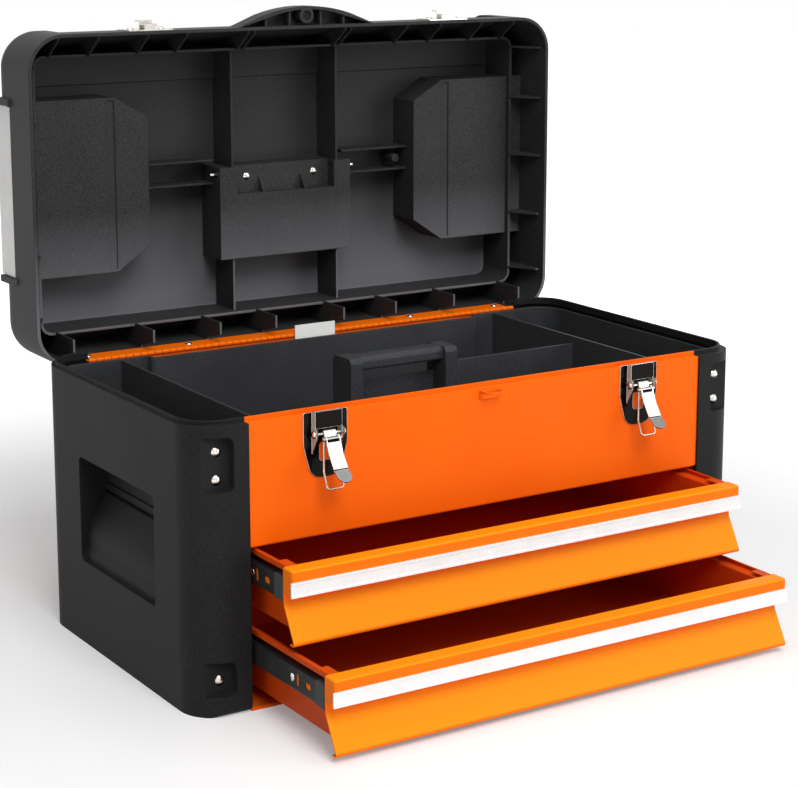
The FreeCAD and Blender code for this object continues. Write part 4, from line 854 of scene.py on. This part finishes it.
@dataclass
class DrawerRails:
    """Pair of black slide rails on a drawer's sides, pierced near the front, with end clips."""

    level: Level
    web: float = 0.7 * MM
    face_gap: float = 1.0 * MM
    turn: float = 1.6 * MM
    turn_steps: int = 6
    lap: float = 0.2 * MM
    oval_place: float = 27.7 * MM
    oval_half: Pair = (4.2 * MM, 2.6 * MM)
    slot_place: float = 43.6 * MM
    slot_half: Pair = (1.9 * MM, 5.2 * MM)
    hole_sides: int = 28
    boss_margin: float = 2.0 * MM
    boss_gap: float = 0.1 * MM
    screw_places: Pair = (51.8 * MM, 208.0 * MM)
    screw_radius: float = 3.6 * MM
    screw_height: float = 1.0 * MM
    screw_sunk: float = 0.3 * MM
    screw_reach: float = 80.0
    screw_steps: int = 6
    clip_length: float = 16.5 * MM
    clip_corner: Pair = (2.2 * MM, 2.4 * MM)
    clip_thin: float = 0.7 * MM
    clip_step: Pair = (11.0 * MM, 10.4 * MM)
    clip_over: float = 0.3 * MM
    clip_round: float = 0.4 * MM

    def loop(self, work: bmesh.types.BMesh, points: list[Vector]) -> list[bmesh.types.BMEdge]:
        """Draw one closed loop of edges."""
        made = [work.verts.new(point) for point in points]
        return [work.edges.new((one, two)) for one, two in zip(made, made[1:] + made[:1])]

    def ring(self, x: float, y: float, z: float, half: Pair) -> list[Vector]:
        """Outline of a hole with round ends, in the plane of the web.

        Args:
            x: Place across.
            y: Depth of its middle.
            z: Height of its middle.
            half: Half of its length and of its height.

        Returns:
            Points of the outline.
        """
        turn = min(half)
        points = []
        for index in range(self.hole_sides):
            angle = 2 * math.pi * (index + 0.5) / self.hole_sides
            across = math.copysign(half[0] - turn, math.cos(angle)) + turn * math.cos(angle)
            up = math.copysign(half[1] - turn, math.sin(angle)) + turn * math.sin(angle)
            points.append(Vector((x, y + across, z + up)))
        return points

    def holes(self) -> list[tuple[float, Pair]]:
        """Place and half size of both holes."""
        return [(self.oval_place, self.oval_half), (self.slot_place, self.slot_half)]

    def pierced(self, sketch: Sketch, x: float, out: float, low: Vector, high: Vector) -> None:
        """Lay the pierced web of one rail.

        Args:
            sketch: Mesh of the rails.
            x: Place of the web's face.
            out: Signed thickness of the web.
            low: Lower corner of the rail's box.
            high: Upper corner of it.
        """
        middle = (low.z + high.z) / 2
        work = sketch.work
        bottom = low.z + self.turn
        top = high.z - self.turn
        edges = self.loop(work, [Vector((x, low.y, bottom)), Vector((x, high.y, bottom)),
                                 Vector((x, high.y, top)), Vector((x, low.y, top))])
        for place, half in self.holes():
            edges += self.loop(work, self.ring(x, low.y + place, middle, half))
        filled = bmesh.ops.triangle_fill(work, edges=edges, use_beauty=True, use_dissolve=False)
        faces = [item for item in filled["geom"] if isinstance(item, bmesh.types.BMFace)]
        grown = bmesh.ops.extrude_face_region(work, geom=faces)
        for item in grown["geom"]:
            if isinstance(item, bmesh.types.BMVert):
                item.co.x += out

    def build(self) -> None:
        """Form the rails, their clips, the screws and the bosses that show in the holes."""
        word = self.level.value
        low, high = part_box(word + "_drawer_runners")
        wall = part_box(word + "_drawer_box")[1].x
        middle = (low.z + high.z) / 2
        face = high.x - self.face_gap
        rails = Sketch(word + "_drawer_runners_pressed")
        clips = Sketch(word + "_runner_clips")
        screws = Sketch(word + "_rail_screw_heads")
        bosses = Sketch(word + "_drawer_side_bosses")
        head = dome(self.screw_radius, self.screw_height, self.screw_reach, self.screw_steps)
        front = low.y
        back = front + self.clip_length
        seat = wall + self.lap
        outer = high.x
        thin = outer - self.clip_thin
        plan = [(seat, front), (outer - self.clip_corner[0], front),
                (outer, front + self.clip_corner[1]), (outer, back - self.clip_step[0]),
                (thin, back - self.clip_step[1]), (thin, back), (seat, back)]
        for side in Side:
            hand = side.value
            self.pierced(rails, hand * face, -hand * self.web, low, high)
            for edge, inward in ((low.z, 1), (high.z, -1)):
                path = bent([(wall, edge, 0.0), (face, edge, self.turn),
                             (face, edge + inward * self.turn, 0.0)], self.turn_steps)
                inner = [(min(x, face - self.web), z + inward * self.web if z == edge else z)
                         for x, z in path[::-1]]
                rails.run(Axis.Y, [(hand * x, z) for x, z in path + inner], low.y, high.y)
            for place, half in self.holes():
                reach = (half[0] + self.boss_margin, half[1] + self.boss_margin)
                bosses.skin([self.ring(hand * x, low.y + place, middle, reach)
                             for x in (wall - self.lap, face - self.web - self.boss_gap)])
            for place in self.screw_places:
                screws.turned(Vector((hand, 0, 0)), Vector((hand * face, low.y + place, middle)),
                              [(-self.screw_sunk, self.screw_radius)] + head)
            clips.run(Axis.Z, [(hand * x, y) for x, y in plan],
                      low.z - self.clip_over, high.z + self.clip_over)
        body = word + "_drawer"
        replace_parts(rails.finish(body, "runner_black"), word + "_drawer_runners")
        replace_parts(clips.finish(body, "bumper_rubber", self.clip_round), word + "_runner_bumpers")
        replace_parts(screws.finish(body, "bright_steel"), word + "_runner_screws")
        # The bosses take the lighter drawer-front orange instead of the tub's darker copy: painted
        # light in the rail holes
        bosses.finish(body, "drawer_inside", look=SLOTS["drawer_orange"])


@dataclass
class LabelStrip:
    """White extruded strip with fine upright ribs between two rims."""

    level: Level
    rim: float = 1.7 * MM
    pitch: float = 2.0 * MM
    rib: float = 0.32 * MM
    rib_height: float = 0.1 * MM
    proud: float = 0.55 * MM

    def build(self) -> None:
        """Lay the strip in its recess."""
        node = self.level.value + "_label_strip"
        low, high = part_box(node)
        face = low.y + self.proud
        bottom = low.z + self.rim
        top = high.z - self.rim
        sketch = Sketch(node + "_ribbed")
        sketch.run(Axis.X, [
            (high.y, low.z), (low.y, low.z), (low.y, bottom), (face, bottom),
            (face, top), (low.y, top), (low.y, high.z), (high.y, high.z)], low.x, high.x)
        count = int((high.x - self.pitch) / self.pitch)
        for index in range(-count, count + 1):
            x = index * self.pitch
            sketch.run(Axis.Z, [
                (x - self.rib, face + self.rib_height), (x, face - self.rib_height),
                (x + self.rib, face + self.rib_height)],
                bottom - self.rib_height, top + self.rib_height)
        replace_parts(sketch.finish(self.level.value + "_drawer", "label_white"), node)


@dataclass
class LatchPin:
    """Pin that a lever turns on."""

    side: Side
    place: float = 153.4 * MM
    pin_depth: float = -149.25 * MM
    pin_height: float = 214.0 * MM


@dataclass
class LatchLever(LatchPin):
    """Plated lever: curled top, dropped step, flat plate, bent round tip and side cheeks.

    Lines hold how far out and down each point lies, the crease from the bend, and for the step
    what is missing from the half width.
    """

    half: float = 6.2 * MM
    plate: float = 1.2 * MM
    curl: float = 2.4 * MM
    curl_less: float = 0.9 * MM
    curl_start: float = -150.0
    curl_turn: float = 200.0
    curl_steps: int = 16
    step_line: tuple[Triple, ...] = (
        (0.9 * MM, 3.4 * MM, 0.9 * MM), (0.3 * MM, 5.0 * MM, 0.7 * MM),
        (0.3 * MM, 7.2 * MM, 0.3 * MM), (1.0 * MM, 8.4 * MM, 0.0), (1.0 * MM, 9.2 * MM, 0.0))
    crease_line: tuple[Pair, ...] = (
        (1.0 * MM, -1.2 * MM), (0.7 * MM, -0.4 * MM), (0.7 * MM, 0.2 * MM))
    length: float = 42.8 * MM
    bend: float = 31.5 * MM
    tip_out: float = 1.0 * MM
    tip_steps: int = 24
    tip_least: float = 0.6 * MM
    flick: float = 3.4 * MM
    cheek: tuple[Pair, ...] = (
        (1.2 * MM, 7.0 * MM), (2.2 * MM, 3.2 * MM), (4.2 * MM, 3.4 * MM), (4.6 * MM, 6.2 * MM),
        (3.4 * MM, 9.0 * MM), (1.4 * MM, 18.0 * MM), (1.2 * MM, 12.0 * MM))
    cheek_sheet: float = 0.8 * MM
    neck_round: float = 0.15 * MM
    tip_round: float = 0.2 * MM
    plate_round: float = 0.25 * MM
    rest: float = 35.0

    def spot(self, x: float, out: float, down: float) -> Vector:
        """Place of one point at rest.

        Args:
            x: How far across the lever it lies.
            out: How far out of it.
            down: How far down it.

        Returns:
            The place.
        """
        angle = math.radians(self.rest)
        return Vector((self.side.value * self.place + x,
                       self.pin_depth - out * math.cos(angle) - down * math.sin(angle),
                       self.pin_height + out * math.sin(angle) - down * math.cos(angle)))

    def line(self) -> list[Triple]:
        """Middle of the plate from the curl to the tip.

        Returns:
            How far out and down each point lies, and its half width.
        """
        points = []
        for index in range(self.curl_steps + 1):
            angle = math.radians(self.curl_start + self.curl_turn * index / self.curl_steps)
            points.append((self.curl * math.cos(angle), self.curl * math.sin(angle),
                           self.half - self.curl_less))
        points += [(out, down, self.half - less) for out, down, less in self.step_line]
        points += [(out, self.bend + past, self.half) for out, past in self.crease_line]
        tip = self.length - self.bend
        for index in range(1, self.tip_steps + 1):
            down = self.bend + tip * index / self.tip_steps
            past = max(down - (self.length - self.half), 0.0)
            width = math.sqrt(max(self.half ** 2 - past ** 2, self.tip_least ** 2))
            points.append((self.tip_out + self.flick * (down - self.bend) / tip, down, width))
        return points

    def rings(self) -> list[list[Vector]]:
        """Outline of the plate at every point of its line.

        Returns:
            Four corners for each point.
        """
        line = self.line()
        rings = []
        for index, (out, down, width) in enumerate(line):
            before = Vector(line[max(index - 1, 0)][:2])
            after = Vector(line[min(index + 1, len(line) - 1)][:2])
            run = (after - before).normalized()
            across = Vector((run.y, -run.x)) * self.plate / 2
            rings.append([self.spot(-width, out + across.x, down + across.y),
                          self.spot(width, out + across.x, down + across.y),
                          self.spot(width, out - across.x, down - across.y),
                          self.spot(-width, out - across.x, down - across.y)])
        return rings

    def build(self) -> None:
        """Form the lever, its neck, its tip and its cheeks."""
        node = self.side.word + "_latch_lever"
        body = self.side.word + "_lever"
        rings = self.rings()
        step = self.curl_steps + 1
        crease = step + len(self.step_line)
        tip_start = crease + len(self.crease_line)
        sketch = Sketch(node + "_pressed")
        sketch.skin(rings[:step + 1])
        sketch.skin(rings[crease - 2:crease + 1])
        sketch.skin(rings[crease + 1:tip_start + 1])
        # The neck and the tip take darker copies of the plating: painted reflections
        neck = Sketch(node + "_neck")
        neck.skin(rings[step:crease - 1])
        neck.skin(rings[crease:crease + 2])
        neck.finish(body, "bright_steel", self.neck_round, NECK_PAINTED_REFLECTION)
        tip = Sketch(node + "_tip")
        tip.skin(rings[tip_start:])
        tip.finish(body, "bright_steel", self.tip_round, TIP_PAINTED_REFLECTION)
        for hand in (-1, 1):
            faces = [hand * self.half, hand * (self.half - self.cheek_sheet)]
            sketch.skin([[self.spot(x, out, down) for out, down in self.cheek] for x in faces])
        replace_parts(sketch.finish(body, "bright_steel", self.plate_round, LEVER_PLATE), node)


@dataclass
class LatchPinHeads(LatchPin):
    """Domed heads on both ends of the pin that a lever turns on."""

    start: float = 13.0 * MM
    radius: float = 2.9 * MM
    foot: float = 0.3 * MM
    foot_share: float = 0.9
    height: float = 1.5 * MM
    reach: float = 84.0
    steps: int = 7

    def build(self) -> None:
        """Turn both heads."""
        sketch = Sketch(self.side.word + "_latch_pin_heads")
        head = dome(self.radius, self.height, self.reach, self.steps)
        outline = [(0.0, self.radius * self.foot_share)]
        outline += [(self.foot + along, radius) for along, radius in head]
        for hand in (-1, 1):
            centre = Vector((self.side.value * self.place + hand * self.start,
                             self.pin_depth, self.pin_height))
            sketch.turned(Vector((hand, 0, 0)), centre, outline)
        sketch.finish("case", "bright_steel")


@dataclass
class GripLiner:
    """Wavy back of the hand grip in an end cap."""

    side: Side
    face: float = 267.0 * MM
    low: float = 72.7 * MM
    high: float = 162.4 * MM
    front: float = -74.1 * MM
    back: float = 67.2 * MM
    sill: float = 6.0 * MM
    sill_foot: float = 4.0 * MM
    sill_round: Pair = (0.4 * MM, 0.5 * MM)
    deep: float = 25.4 * MM
    rim: float = 0.4 * MM
    foot: float = 4.2 * MM
    wave_low: float = 20.0 * MM
    wave_high: float = 66.0 * MM
    wave_steps: int = 40

    def build(self) -> None:
        """Sweep the wave along the grip."""
        top = self.high - self.low
        outline = [(self.sill + self.sill_foot, self.foot),
                   (self.sill + self.sill_round[0], self.foot),
                   (self.sill, self.foot + self.sill_round[1])]
        for index in range(self.wave_steps + 1):
            share = index / self.wave_steps
            ease = share * share * (3 - 2 * share)
            outline.append((self.sill + (self.deep - self.sill) * ease,
                            self.wave_low + (self.wave_high - self.wave_low) * share))
        outline += [(self.deep, top), (self.deep + self.rim, top),
                    (self.deep + self.rim, self.wave_high)]
        sketch = Sketch(self.side.word + "_grip_liner")
        sketch.run(Axis.Y, [(self.side.value * (self.face - depth), self.low + height)
                            for depth, height in outline], self.front, self.back)
        sketch.finish("case", "cap_plastic")


@dataclass
class HandlePivots:
    """Two short pins at the ends of the carry handle's well."""

    inner: float = 55.0 * MM
    shoulder: float = 0.6 * MM
    nose: float = 0.2 * MM
    nose_share: float = 0.85
    tip_share: float = 0.55

    def build(self) -> None:
        """Turn both pins."""
        low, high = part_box("handle_rod")
        radius = (high.z - low.z) / 2
        middle = (low + high) / 2
        reach = high.x - self.inner
        outline = [(0.0, radius), (reach - self.shoulder, radius),
                   (reach - self.nose, radius * self.nose_share), (reach, radius * self.tip_share)]
        sketch = Sketch("handle_pivots")
        for side in Side:
            centre = Vector((side.value * self.inner, middle.y, middle.z))
            sketch.turned(Vector((side.value, 0, 0)), centre, outline)
        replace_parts(sketch.finish("lid", "bright_steel"), "handle_rod")


@dataclass
class CarriedNodes:
    """The CAD nodes that keep their own shape and get a finish."""

    own: dict[str, Finish] = field(default_factory=lambda: {
        "right_latch_base": PLATES, "left_latch_base": PLATES, "right_latch_bail": WIRE,
        "left_latch_bail": WIRE, "hinge_centre_plate": HINGE_PLATE})

    def dress(self) -> None:
        """Give every node its own finish or that of its material slot."""
        for entry in frame["record"]["subparts"]:
            name = entry["node"]
            look = self.own.get(name, SLOTS[entry["material_slot"]])
            materials = frame["nodes"][name].data.materials
            materials.clear()
            materials.append(built(look))
            LOG.info("node %s has the finish %s", name, look.name)


@dataclass(frozen=True)
class Lamp:
    """One soft square lamp: its place, the length of its side and its power in watts."""

    name: str
    place: Triple
    size: float
    power: float

    def hang(self, aim: Vector) -> None:
        """Hang the lamp.

        Args:
            aim: The point it shines at.
        """
        data = bpy.data.lights.new(self.name, "AREA")
        data.shape = "SQUARE"
        data.size = self.size
        data.energy = self.power
        lamp = bpy.data.objects.new(self.name, data)
        lamp.location = self.place
        lamp.rotation_euler = (aim - Vector(self.place)).to_track_quat("-Z", "Y").to_euler()
        bpy.context.scene.collection.objects.link(lamp)


@dataclass
class Studio:
    """Pale floor, soft lamps, white surroundings and the camera."""

    floor_reach: float = 6.0
    floor_cells: int = 5
    floor_near: float = 0.45
    floor_far: float = 1.5
    floor_colour: Colour = srgb(236, 236, 236)
    floor_patch: Colour = srgb(240, 240, 240)
    floor_cloud: Cloud = Cloud(0.5, 3.0)
    floor_roughness: float = 0.8
    floor_gloss: float = 0.1
    floor_glow: float = 0.2
    world_glow: float = 0.22
    lamps: tuple[Lamp, ...] = (
        Lamp("key", (-0.5, -2.4, 2.6), 1.6, 66.0), Lamp("fill", (2.2, -2.2, 0.9), 1.6, 26.0),
        Lamp("side", (-2.6, -0.6, 1.5), 1.4, 4.0), Lamp("overhead", (0.0, -0.3, 3.0), 1.8, 20.0))
    lamp_aim: Triple = (0.0, 0.0, 0.2)
    camera_place: Triple = (-0.9333, -1.4843, 0.6153)
    camera_turn: float = 32.295
    camera_tilt: float = 11.279
    camera_focus: float = 2076.2
    camera_shift: float = -80.0

    def floor(self) -> None:
        """Lay the floor under the tool box."""
        mesh = bpy.data.meshes.new("floor")
        work = bmesh.new()
        bmesh.ops.create_grid(work, x_segments=self.floor_cells, y_segments=self.floor_cells,
                              size=self.floor_reach)
        work.to_mesh(mesh)
        work.free()
        floor = bpy.data.objects.new("floor", mesh)
        bpy.context.scene.collection.objects.link(floor)
        material, net, place = new_net("floor")
        cloud = net.noise(place, self.floor_cloud)
        away = net.ramp(net.between("LENGTH", place), self.floor_near, self.floor_far)
        white = self.floor_glow + away * (1 - self.floor_glow)
        lift = net.term("ShaderNodeEmission", inputs={
            "Color": WHITE, "Strength": net.seen() * white})
        matt = net.term("ShaderNodeBsdfPrincipled", inputs={
            "Base Color": net.mix(cloud, self.floor_colour, self.floor_patch),
            "Roughness": self.floor_roughness, "Specular IOR Level": self.floor_gloss})
        both = net.term("ShaderNodeAddShader", inputs={0: matt, 1: lift})
        net.node("ShaderNodeOutputMaterial", inputs={"Surface": both})
        mesh.materials.append(material)
        LOG.info("floor laid")

    def world(self) -> None:
        """White to the camera and to reflections, a low even light for the rest."""
        world = bpy.data.worlds.new("studio")
        bpy.context.scene.world = world
        world.use_nodes = True
        net = Net(world.node_tree)
        strength = net.seen() * (1 - self.world_glow) + self.world_glow
        light = net.term("ShaderNodeBackground", inputs={"Color": WHITE, "Strength": strength})
        net.node("ShaderNodeOutputWorld", inputs={"Surface": light})

    def camera(self) -> None:
        """Set the camera at the photograph's viewing angle."""
        data = bpy.data.cameras.new("camera")
        data.sensor_width = SENSOR_WIDTH
        data.lens = self.camera_focus * SENSOR_WIDTH / PICTURE_WIDTH
        data.shift_y = self.camera_shift / PICTURE_WIDTH
        camera = bpy.data.objects.new("camera", data)
        camera.location = self.camera_place
        camera.rotation_euler = (math.radians(90 - self.camera_tilt), 0.0,
                                 math.radians(-self.camera_turn))
        bpy.context.scene.collection.objects.link(camera)
        bpy.context.scene.camera = camera

    def build(self) -> None:
        """Build the whole studio."""
        self.floor()
        self.world()
        for lamp in self.lamps:
            lamp.hang(Vector(self.lamp_aim))
        self.camera()
        bpy.context.scene.view_settings.view_transform = "Standard"


def main() -> None:
    """Dress the tool box and build the studio."""
    logging.basicConfig(level=logging.INFO, format="%(message)s")
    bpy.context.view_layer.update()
    CarriedNodes().dress()
    for level in Level:
        for part in (DrawerFront, LabelStrip, DrawerTub, DrawerRails):
            part(level).build()
    for side in Side:
        for part in (LatchLever, LatchPinHeads, GripLiner):
            part(side).build()
    HandlePivots().build()
    Studio().build()


if __name__ == "__main__":
    main()
